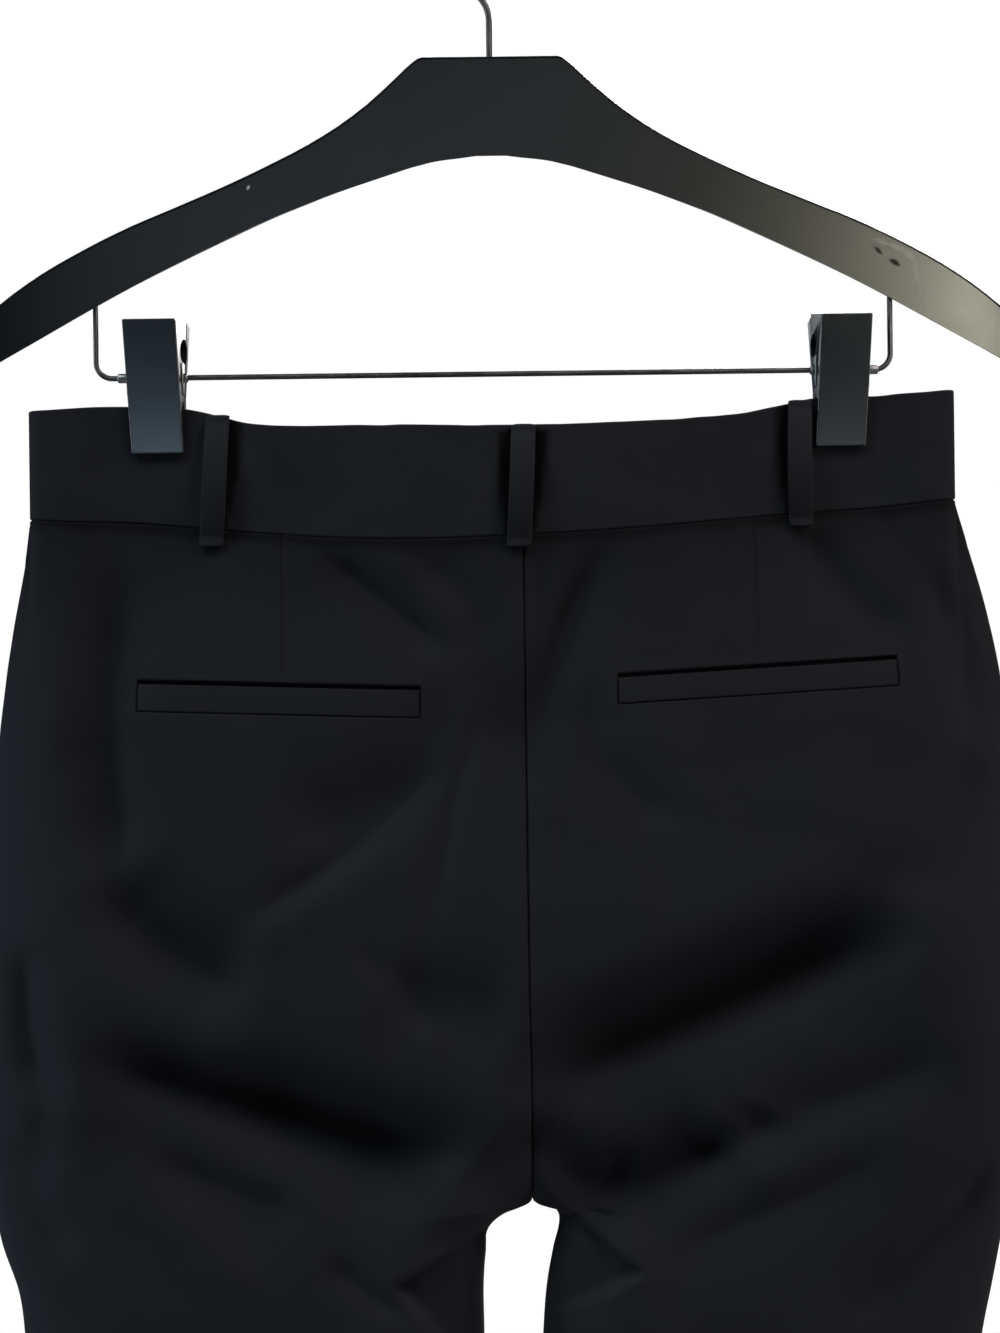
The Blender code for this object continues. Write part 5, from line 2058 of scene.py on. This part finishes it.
@dataclass(frozen=True)
class HangerBody:
    """The contoured arms and block, moulded in one, with sockets for the hook and the bar."""

    outline: Table = Table(("x", "top", "bottom"), (
        (0.0, -69.3, -109.1), (14.0, -69.3, -110.1), (24.0, -69.3, -111.5),
        (28.4, -69.6, -112.6), (31.2, -71.6, -113.3), (38.0, -77.8, -115.4),
        (48.0, -86.8, -118.6), (58.0, -94.3, -121.8), (72.0, -102.9, -126.8),
        (88.0, -110.9, -132.8), (106.0, -119.1, -140.8), (126.0, -127.3, -150.2),
        (146.0, -135.4, -160.1), (163.0, -143.5, -169.2), (183.0, -154.6, -180.2),
        (199.0, -165.9, -188.7), (210.0, -175.6, -194.5), (217.0, -183.8, -196.8),
        (220.5, -189.2, -195.6)))
    half_depth: float = 6.0
    # Half the hanger's width, and where its rounded tip would close.
    reach: float = 220.5
    tip_reach: float = 221.3
    # How far the arms' tips come forward of the block.
    forward: float = 6.0
    top_round: float = 3.0
    low_round: float = 1.3
    # How much higher the underside lies at its back edge, as a share of the section's height.
    under_slant: float = 0.13
    hook_hole: float = 1.65
    bar_hole: float = 1.45
    socket: float = 7.0

    def under(self, x: float) -> float:
        """Height of the underside at a place."""
        return float(self.outline.read("bottom", np.array([x]))[0])

    def build(self) -> Obj:
        """Builds the right arm section by section, mirrors it and bores the sockets.

        Returns:
            The finished body.
        """
        x = spaced(0.0, self.reach, 6.0, [(28, 7, 1.6), (215, 8, 2.0)])
        top, low = self.outline.read("top", x), self.outline.read("bottom", x)
        # The first block is level, as the cube that it starts from.
        top[1], low[1] = top[0], low[0]
        middle, tall = (top + low) / 2, top - low
        tip = np.sqrt(np.maximum(1 - (x / self.tip_reach) ** 14, 0.05))
        ahead = self.forward * (x / x[-1]) ** 2
        deselect_all()
        bpy.ops.mesh.primitive_cube_add(size=1.0, location=Vector((x[1] / 2, 0, middle[0])) * MM)
        obj = bpy.context.object
        obj.name = "hanger_body_moulded"
        obj.scale = Vector((x[1], 2 * self.half_depth, tall[0])) * MM
        settle(obj)
        with editing(obj):
            choose(obj, Pick.EDGES, lambda edge: edge_middle(edge).z < low[0] + 1
                   and edge_middle(edge).y > self.half_depth - 1)
            bpy.ops.transform.translate(value=(0, 0, self.under_slant * tall[0] * MM))
            choose(obj, Pick.FACES, lambda face: face.normal.x > 0.9)
            for k in range(2, len(x)):
                bpy.ops.mesh.extrude_region_move()
                here = Vector((x[k], ahead[k], middle[k]))
                last = Vector((x[k - 1], ahead[k - 1], middle[k - 1]))
                bpy.ops.transform.translate(value=(here - last) * MM)
                bpy.ops.transform.resize(value=(1, tip[k] / tip[k - 1], tall[k] / tall[k - 1]),
                                         center_override=here * MM)
            choose(obj, Pick.FACES, lambda face: face.normal.x < -0.9
                   and face.calc_center_median().x < MM)
            bpy.ops.mesh.delete(type="FACE")
        for width, upper in ((self.top_round, True), (self.low_round, False)):
            with editing(obj):
                choose(obj, Pick.EDGES, lambda edge: self.is_corner(edge, upper))
                bpy.ops.mesh.bevel(offset=width * MM, segments=5, affect="EDGES",
                                   clamp_overlap=True)
        apply_modifier(obj, "MIRROR", use_axis=(True, False, False), merge_threshold=0.00002)
        tidy_normals(obj)
        bore(obj, (0, 0, top[0]), self.hook_hole, 24.0, UPRIGHT)
        for side in Side:
            place = side.value * BAR_HALF_SPAN
            bore(obj, (place, 0, self.under(BAR_HALF_SPAN)), self.bar_hole, 2 * self.socket,
                 UPRIGHT)
        finely_shaded(obj)
        return dress(obj, HANGER_ABS, "hanger_body")

    def is_corner(self, edge: bmesh.types.BMEdge, upper: bool) -> bool:
        """Whether an edge is one of the long corners.

        Args:
            edge: The edge.
            upper: True for the corners along the top, False for the others.

        Returns:
            True where it is.
        """
        if len(edge.link_faces) != 2:
            return False
        first, second = (face.normal for face in edge.link_faces)
        if first.angle(second) < math.radians(50):
            return False
        way = first + second
        return way.z > 0.2 if upper else way.z < -0.2 or abs(way.x) > 0.8


@dataclass(frozen=True)
class Wire:
    """A round wire bent through points, its ends rounded off."""

    name: str
    node: str
    radius: float
    finish: DrawnWire

    def build(self, points: Array, round_ends: tuple[bool, bool]) -> Obj:
        """Bends the wire along its centreline.

        Args:
            points: The wire's centreline, in millimetres.
            round_ends: Which of its two ends are rounded.

        Returns:
            The wire as a mesh object.
        """
        scale = np.ones(len(points))
        for end, wanted in zip((0, -1), round_ends):
            if wanted:
                points, scale = self.nose(points, scale, end)
        curve = bpy.data.curves.new(self.name, "CURVE")
        curve.dimensions = "3D"
        curve.bevel_depth = self.radius * MM
        curve.bevel_resolution = 6
        curve.use_fill_caps = True
        spline = curve.splines.new("POLY")
        spline.points.add(len(points) - 1)
        for place, point, wide in zip(spline.points, points, scale):
            place.co = (*(point * MM), 1.0)
            place.radius = wide
        obj = bpy.data.objects.new(self.name, curve)
        bpy.context.collection.objects.link(obj)
        make_active(obj)
        bpy.ops.object.convert(target="MESH")
        obj = bpy.context.object
        smooth(obj, 60)
        return dress(obj, self.finish, self.node)

    def nose(self, points: Array, scale: Array, end: int) -> tuple[Array, Array]:
        """Adds close-set points at an end, narrowing to a round nose.

        Args:
            points: The centreline.
            scale: The wire's thickness at each point, as a share.
            end: 0 for the first end, -1 for the last.

        Returns:
            The longer centreline and its thickness.
        """
        order = 1 if end == -1 else -1
        points, scale = points[::order], scale[::order]
        way = points[-1] - points[-2]
        way /= np.linalg.norm(way)
        tail = points[-1]
        angles = np.linspace(0, 1, 7)[1:] * math.pi / 2
        more = [tail + way * self.radius * (math.sin(a) - 1.0) for a in angles]
        start = tail - way * self.radius
        points = np.concatenate([points[:-1], [start], more])
        scale = np.concatenate([scale[:-1], [1.0], [max(math.cos(a), 0.08) for a in angles]])
        return points[::order], scale[::order]


@dataclass(frozen=True)
class HangerWires:
    """The hook and the trouser bar."""

    hook: Wire = Wire("hook_wire", "hanger_hook", 1.3, BLACK_NICKEL)
    bar: Wire = Wire("bar_wire", "trouser_bar", 1.1, BLACK_NICKEL)
    inside: float = 20.0
    # Where the hook's round part starts and ends, in degrees from +X.
    join: float = 235.0
    end: float = -28.0
    straight_top: float = -54.0
    block_top: float = -69.3
    into_block: float = 11.7
    # How strongly the hook's easy curve follows its shank and its round part.
    easing: tuple[float, float] = (9.0, 7.5)
    # Radius of the bar's two bends.
    bend: float = 6.4

    def build_hook(self) -> Obj:
        """Bends the hook: a straight shank, an easy curve and the round.

        Returns:
            The hook.
        """
        radius = self.inside + self.hook.radius
        centre = self.hook.radius - radius
        join = math.radians(self.join)
        start = np.array((0.0, self.straight_top))
        stop = np.array((radius * math.cos(join), centre + radius * math.sin(join)))
        heading = np.array((math.sin(join), -math.cos(join)))
        handles = start + (0, self.easing[0]), stop - heading * self.easing[1]
        points = [(0, 0, self.block_top - self.into_block), (0, 0, self.block_top)]
        for t in np.linspace(0, 1, 22)[:-1]:
            at = ((1 - t) ** 3 * start + 3 * (1 - t) ** 2 * t * handles[0]
                  + 3 * (1 - t) * t**2 * handles[1] + t**3 * stop)
            points.append((at[0], 0, at[1]))
        for angle in np.radians(np.linspace(self.join, self.end, 80)):
            points.append((radius * math.cos(angle), 0, centre + radius * math.sin(angle)))
        return self.hook.build(np.array(points), (False, True))

    def build_bar(self, top: float) -> Obj:
        """Bends the bar: down from one arm, across, and up to the other.

        Args:
            top: Height of its ends, inside the arms.

        Returns:
            The bar.
        """
        turn = np.linspace(0, math.pi / 2, 16)
        x = BAR_HALF_SPAN - self.bend + self.bend * np.cos(turn)
        z = BAR_Z + self.bend - self.bend * np.sin(turn)
        x, z = np.append(BAR_HALF_SPAN, x), np.append(top, z)
        points = np.stack([np.append(-x, x[::-1]), np.zeros(2 * len(x)), np.append(z, z[::-1])])
        return self.bar.build(points.T, (False, False))


@dataclass(frozen=True)
class TrouserClip:
    """One clip: two moulded channel-shaped jaws on the bar, round a bent steel strip."""

    name: str
    # The middle, the height and the width, at the top and at the foot.
    top: tuple[float, float, float]
    foot: tuple[float, float, float]
    # How far the jaws' flanges lean aside at the top.
    lean: float
    outer_top: float = 11.2
    outer_foot: float = 5.4
    plate: float = 2.0
    flange: float = 1.6
    channel_foot: float = -203.0
    ear_radius: float = 3.1
    edge: float = 0.8
    # The slot in each flange: how far below the top, its radius and how much longer it is.
    slot_down: float = 11.4
    slot_radius: float = 5.4
    slot_stretch: float = 0.92
    sleeve_radius: float = 1.9
    # How near each jaw's flanges come to the middle plane.
    back_limit: float = -2.9
    front_limit: float = 3.7

    def across(self, z: float) -> tuple[float, float, float]:
        """The clip's measures at a height.

        Args:
            z: The height.

        Returns:
            The middle, the width and the outer face's distance.
        """
        share = (self.top[1] - z) / (self.top[1] - self.foot[1])
        middle = self.top[0] + (self.foot[0] - self.top[0]) * share
        width = self.top[2] + (self.foot[2] - self.top[2]) * share
        return middle, width, self.outer_top + (self.outer_foot - self.outer_top) * share

    def jaw(self, part: str, sign: float, limit: float) -> Obj:
        """One jaw, hollowed from behind, with a slot in each flange.

        Args:
            part: Which jaw, as in its solid's name.
            sign: The side of the band that it lies on.
            limit: How near its flanges come to the middle plane.

        Returns:
            The jaw, not yet dressed.
        """
        body, hole = [], []
        for z in (self.top[1], self.channel_foot, self.channel_foot - 5.0, self.foot[1]):
            middle, width, outer = self.across(z)
            middle += self.lean if sign > 0 and z == self.top[1] else 0.0
            inner = limit if z >= self.channel_foot else outer - self.plate
            body.append(((middle, sign * (outer + inner) / 2, z), width, outer - inner))
        for z in (self.top[1] - 1.8, self.channel_foot):
            middle, width, outer = self.across(z)
            depth = outer - self.plate - limit + 4.0
            hole.append(((middle, sign * (outer - self.plate - depth / 2), z),
                         width - 2 * self.flange, depth))
        obj = self.splayed(f"{self.name}_{part}_moulded", body, sign)
        bevel(obj, self.edge, 3)
        cut_with(obj, self.splayed("channel", hole, sign))
        slot_z = self.top[1] - self.slot_down
        middle, width, _ = self.across(slot_z)
        bore(obj, (middle, 1.0, slot_z), self.slot_radius, width + 6, stretch=self.slot_stretch)
        return obj

    def splayed(self, name: str, sections: list, sign: float) -> Obj:
        """A block whose top slopes up and leans aside towards the middle plane.

        Args:
            name: The object's name.
            sections: Its level sections, as for `stretched_box`.
            sign: The side of the band that it lies on.

        Returns:
            The block.
        """
        obj = stretched_box(name, sections)
        (_, out, top), _, deep = sections[0]
        aside = self.lean * deep / 14.0 if sign < 0 else 0.0
        with editing(obj):
            choose(obj, Pick.EDGES, lambda edge: edge_middle(edge).z > top - 1
                   and sign * (edge_middle(edge).y - out) < -0.4 * deep)
            bpy.ops.transform.translate(value=(aside * MM, 0, 0.17 * deep * MM))
        return obj

    def ear(self, obj: Obj, side: Side) -> None:
        """Joins an ear round the bar to one flange of a jaw.

        Args:
            obj: The jaw.
            side: Which flange.
        """
        middle, width, _ = self.across(BAR_Z)
        place = (middle + side.value * (width / 2 - 0.7), 0, BAR_Z)
        cut_with(obj, add_cylinder(place, self.ear_radius, self.flange + 0.5), "UNION")

    def fitting(self, side: Side) -> list[Obj]:
        """The steel at one end of the clip: the spring's flat side and a sleeve on the bar.

        Args:
            side: Which end of the clip.

        Returns:
            Both pieces.
        """
        middle, width, _ = self.across(BAR_Z)
        flange = middle + side.value * width / 2
        beside = flange + side.value * 0.35
        strip = stretched_box("spring_side", [((beside, -1.2, BAR_Z + 5.6), 0.9, 4.6),
                                              ((beside, -0.6, BAR_Z - 7.0), 0.9, 3.2)])
        bevel(strip, 0.35, 3)
        # The sleeve on the clip's outer side is the longer one.
        long = 4.6 if side.value * middle > 0 else 2.4
        sleeve = add_cylinder((flange + side.value * long / 2, 0, BAR_Z), self.sleeve_radius, long)
        settle(sleeve)
        bevel(sleeve, 0.6, 3)
        for obj in (strip, sleeve):
            bore(obj, (flange, 0, BAR_Z), 1.35, 14.0)
        return [strip, sleeve]

    def build(self, spring_node: Obj) -> None:
        """Builds both jaws, and the spring with its sleeves.

        Args:
            spring_node: The spring's CAD node.
        """
        jaws = {"jaw_back": self.jaw("jaw_back", -1.0, self.back_limit),
                "jaw_front": self.jaw("jaw_front", 1.0, self.front_limit)}
        for side in Side:
            self.ear(jaws["jaw_back"], side)
        middle, width, _ = self.across(BAR_Z)
        bore(jaws["jaw_back"], (middle, 0, BAR_Z), 1.5, width * 2)
        for part, jaw in jaws.items():
            tidy_normals(jaw)
            finely_shaded(jaw)
            dress(jaw, CLIP_ABS, f"{self.name}_{part}")
        spring = copy_of(spring_node, f"{self.name}_spring_strip")
        bevel(spring, 0.18, 2)
        others = [obj for side in Side for obj in self.fitting(side)]
        make_active(spring)
        for obj in others:
            obj.select_set(True)
        bpy.ops.object.join()
        settle(spring)
        smooth(spring)
        dress(spring, SPRING_STEEL, f"{self.name}_spring")


@dataclass(frozen=True)
class Hanger:
    """The whole hanger: body, hook, bar and two clips."""

    body: HangerBody = HangerBody()
    wires: HangerWires = HangerWires()
    clips: tuple[TrouserClip, ...] = (
        TrouserClip("clip_left", (-135.9, -172.9, 21.3), (-133.8, -225.6, 20.8), 2.4),
        TrouserClip("clip_right", (140.0, -174.0, 20.3), (137.8, -225.8, 19.8), -2.4),
    )

    def build(self, nodes: dict[str, Obj]) -> None:
        """Builds the hanger from the body outwards.

        Args:
            nodes: The CAD nodes by name.
        """
        self.body.build()
        self.wires.build_hook()
        self.wires.build_bar(self.body.under(BAR_HALF_SPAN) + self.body.socket)
        for clip in self.clips:
            clip.build(nodes[f"{clip.name}_spring"])


@dataclass(frozen=True)
class WaistButton:
    """A four-hole button on the fly tab, sewn with crossed thread."""

    x: float = -32.0
    z: float = -236.0
    radius: float = 7.5
    wall: float = 2.4
    # The holes' distance from the middle, across and up.
    spread: float = 1.3433
    hole: float = 0.9

    def turn(self, centre: tuple) -> Obj:
        """Turns the button: a disc with a raised rim and a dished face.

        Args:
            centre: Its middle, in millimetres.

        Returns:
            The button, without its holes.
        """
        obj = add_cylinder(centre, self.radius, self.wall, ALONG_Y, 64)
        obj.name = "waist_button_turned"
        settle(obj)
        with editing(obj):
            choose(obj, Pick.FACES, lambda face: face.normal.y > 0.9)
            for inset, move in ((1.5, 0.35), (0.7, -0.95)):
                bpy.ops.mesh.inset(thickness=inset * MM)
                bpy.ops.transform.translate(value=(0, move * MM, 0))
        bevel(obj, 0.35, 3, 25)
        return obj

    def build(self, carrier: Obj) -> None:
        """Builds the button and its thread.

        Args:
            carrier: The band under it.
        """
        low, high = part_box("waist_button")
        out = (low[1] + high[1]) / 2 / MM
        obj = self.turn((self.x, out, self.z))
        holes = [(self.x + a * self.spread, self.z + b * self.spread)
                 for a in (-1, 1) for b in (-1, 1)]
        for x, z in holes:
            bore(obj, (x, out, z), self.hole, self.wall * 3, ALONG_Y)
        smooth(obj, 35)
        dress(obj, TurnedResin(centre=(self.x, out, self.z)), "waist_button")
        back = height_on(tree_of(carrier), self.x, self.z, 1.0) or out - 2
        face = out + self.wall / 2 - 0.45
        starts, ends = [], []
        for row in (-1, 1):
            for lane in (-0.32, 0.0, 0.32):
                z = self.z + row * self.spread + lane
                starts.append((self.x - self.spread, face, z))
                ends.append((self.x + self.spread, face, z))
        for x, z in holes:
            starts.append((x, back - 0.3, z))
            ends.append((x, face, z))
        StitchRun("button_thread", radius=0.3).build(np.array(starts), np.array(ends))


@dataclass(frozen=True)
class ZipSlider:
    """The zip's slider, a small cast body with a rounded nose."""

    edge: float = 0.7

    def build(self, node: Obj) -> Obj:
        """Rounds a copy of the slider's solid.

        Args:
            node: The slider's CAD node.

        Returns:
            The slider.
        """
        obj = copy_of(node, "zip_slider_cast")
        bevel(obj, self.edge, 3)
        return dress(obj, ZIP_METAL, "zip_slider")


# ---------------------------------------------------------------- studio


@dataclass(frozen=True)
class SoftLight:
    """One soft rectangular light aimed at the trousers; places and sizes are in metres."""

    name: str
    place: tuple[float, float, float]
    target: tuple[float, float, float]
    size: tuple[float, float]
    power: float
    colour: str = "#ffffff"
    spread: float = 180.0
    # Pieces that the light doesn't reach.
    spares: tuple[str, ...] = ()

    def build(self) -> None:
        """Adds the light."""
        lamp = bpy.data.lights.new(self.name, "AREA")
        lamp.shape = "RECTANGLE"
        lamp.size, lamp.size_y = self.size
        lamp.energy = self.power
        lamp.color = from_hex(self.colour)[:3]
        lamp.spread = math.radians(self.spread)
        obj = bpy.data.objects.new(self.name, lamp)
        way = Vector(self.target) - Vector(self.place)
        obj.matrix_world = (Matrix.Translation(self.place)
                            @ way.to_track_quat("-Z", "Y").to_matrix().to_4x4())
        obj.visible_camera = False
        bpy.context.collection.objects.link(obj)
        if self.spares:
            kept_off = bpy.data.collections.new(f"kept off {self.name}")
            for name in self.spares:
                kept_off.objects.link(bpy.data.objects[name])
            for held in kept_off.collection_objects:
                held.light_linking.link_state = "EXCLUDE"
            obj.light_linking.receiver_collection = kept_off


@dataclass(frozen=True)
class Studio:
    """A white room: a pale floor, soft lights and the camera."""

    floor_z: float = -1062.0
    floor_radius: float = 700.0
    # The camera's place in metres, its lens in millimetres and its roll in degrees.
    camera_place: tuple[float, float, float] = (0.0012, -0.8, -0.3118)
    lens: float = 72.0
    roll: float = -0.7
    lights: tuple[SoftLight, ...] = (
        SoftLight("top left light", (-1.15, -1.10, 1.35), (0, 0, -0.86), (0.8, 0.8), 6.2, "#f1ffff",
                  60.0, ("hanger_body_moulded",)),
        SoftLight("top right light", (1.05, -1.10, 1.35), (0, 0, -0.86), (0.8, 0.8), 6.2, "#fff1ef",
                  60.0, ("hanger_body_moulded",)),
        SoftLight("front light", (0.6, 1.5, 0.5), (0, 0, -0.6), (0.9, 0.9), 9.0, "#ffffff", 60.0),
        SoftLight("right softbox", (0.74, -1.32, 0.08), (0.12, 0, -0.12), (0.35, 0.3), 0.242,
                  "#fffbe2", 30.0),
        SoftLight("left softbox", (-0.36, -1.4, 0.14), (-0.12, 0, -0.12), (0.5, 0.3), 0.0158,
                  "#dff0ff", 30.0),
        SoftLight("middle softbox", (0.03, -1.4, 0.3), (0, 0, -0.1), (0.4, 0.3), 0.009,
                  "#e8f6ff", 30.0),
        SoftLight("low left softbox", (-0.36, -1.3, -0.46), (-0.1, 0, -0.2), (0.25, 0.2), 0.7,
                  "#c4e7ff"),
        SoftLight("low right softbox", (0.36, -1.3, -0.505), (0.1, 0, -0.2), (0.25, 0.2), 0.45,
                  "#e2f6ff"),
        SoftLight("left strip", (-1.6, -0.2, -0.35), (0, 0, -0.4), (0.3, 1.4), 20.0, "#e6f2ff"),
        SoftLight("right strip", (1.6, -0.2, -0.35), (0, 0, -0.4), (0.3, 1.4), 15.0, "#fff4f0"),
        SoftLight("backdrop light", (0, 1.6, 0.5), (0, 0, 0.2), (1.6, 0.9), 4.0, "#fbfcff"),
    )

    def build(self) -> None:
        """Adds everything that isn't part of the trousers."""
        for light in self.lights:
            light.build()
        self.floor()
        self.world()
        self.camera()
        bpy.context.scene.view_settings.view_transform = "Standard"

    def floor(self) -> None:
        """A round pale floor under the trousers."""
        obj = add_cylinder((0, 0, self.floor_z - 10.0), self.floor_radius, 20.0, UPRIGHT, 128)
        obj.name = "floor"
        settle(obj)
        bevel(obj, 4.0, 3)
        obj.data.materials.append(MattePaint().material())

    def world(self) -> None:
        """White to the camera, and a dim even light to everything else."""
        world = bpy.data.worlds.new("white room")
        bpy.context.scene.world = world
        world.use_nodes = True
        tree = world.node_tree
        tree.nodes.clear()
        path = add_node(tree, "LightPath", {})
        seen = add_node(tree, "Background", {"Color": (1, 1, 1, 1), "Strength": 1.0})
        dim = add_node(tree, "Background", {"Color": from_hex("#a9c4ff"), "Strength": 0.035})
        both = add_node(tree, "MixShader", {},
                        {0: path.outputs["Is Camera Ray"], 1: dim.outputs[0], 2: seen.outputs[0]})
        add_node(tree, "OutputWorld", {}, {"Surface": both.outputs[0]})

    def camera(self) -> None:
        """The camera, level with the seat and very slightly rolled."""
        lens = bpy.data.cameras.new("camera")
        lens.sensor_fit = "HORIZONTAL"
        lens.sensor_width = 36.0
        lens.lens = self.lens
        lens.clip_start = 0.02
        lens.clip_end = 20.0
        obj = bpy.data.objects.new("camera", lens)
        obj.matrix_world = (Matrix.Translation(self.camera_place)
                            @ Matrix.Rotation(math.radians(90), 4, "X")
                            @ Matrix.Rotation(math.radians(self.roll), 4, "Z"))
        bpy.context.collection.objects.link(obj)
        bpy.context.scene.camera = obj


# ---------------------------------------------------------------- assembly


@dataclass(frozen=True)
class Trousers:
    """The whole garment, sewn together from its pieces. Its cuts are widths and lengths."""

    back_cut: tuple[float, float] = (250, 800)
    back_areas: tuple[float, float] = (157000, 150000)
    front_cut: tuple[float, float] = (235, 800)
    front_area: float = 151000
    band_widths: tuple[float, float, float] = (375, 182, 236)
    band_height: float = 48
    welt_cut: tuple[float, float] = (112, 12)
    loop_cut: tuple[float, float] = (10.5, 58)
    fly_widths: tuple[float, float] = (24, 38)
    fly_length: float = 136
    # How far the fly tab laps the other stretch, and where its lift ends.
    lap: float = 34.0
    lift_end: float = 34.3

    def build(self, nodes: dict[str, Obj]) -> None:
        """Builds the garment from the leg panels outwards.

        Args:
            nodes: The CAD nodes by name.
        """
        backs, fronts = self.build_legs()
        bands = self.build_bands()
        for side, panel in zip(Side, backs):
            welt = PocketWelt(LegPanel(side, Face.BACK, BACK_CREASES)).build()
        for loop in LOOPS:
            carriers = [bands[0], *backs] if loop.face is Face.BACK else [*bands[1:], *fronts]
            obj = loop.build(carriers)
        fly = Fly()
        for obj, width in zip(fly.build(fronts), self.fly_widths):
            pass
        ZipSlider().build(nodes["zip_slider"])
        WaistButton().build(bands[2])
        fly.topstitch(fronts[1])

    def build_legs(self) -> tuple[list[Obj], list[Obj]]:
        """Builds the leg panels.

        Returns:
            The two back panels and the two front panels, left before right.
        """
        backs, fronts = [], []
        for side in Side:
            backs.append(LegPanel(side, Face.BACK, BACK_CREASES).build())
            fronts.append(LegPanel(side, Face.FRONT, FRONT_CREASES).build())
        for obj, side in zip(fronts, Side):
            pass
        return backs, fronts

    def build_bands(self) -> list[Obj]:
        """Builds the waistband's three stretches.

        Returns:
            The back, the front left and the front right.
        """
        fly_x = float(CENTRE_SEAMS.read("front", np.array([BAND_SEAM_Z]))[0])
        bands = [
            BandPiece("waistband_back", BAND_START, BAND_END, Face.BACK).build(),
            BandPiece("waistband_front_left", BAND_START, fly_x, Face.FRONT).build(),
            BandPiece("waistband_front_right", fly_x - self.lap, BAND_END, Face.FRONT,
                      tab=self.lift_end).build(),
        ]
        return bands


def main() -> None:
    """Loads the frame, dresses it and lights it."""
    logging.basicConfig(level=logging.INFO, format="%(name)s: %(message)s")
    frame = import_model()
    for maker in (Hanger(), Trousers()):
        maker.build(frame["nodes"])
    Studio().build()


if __name__ == "__main__":
    main()
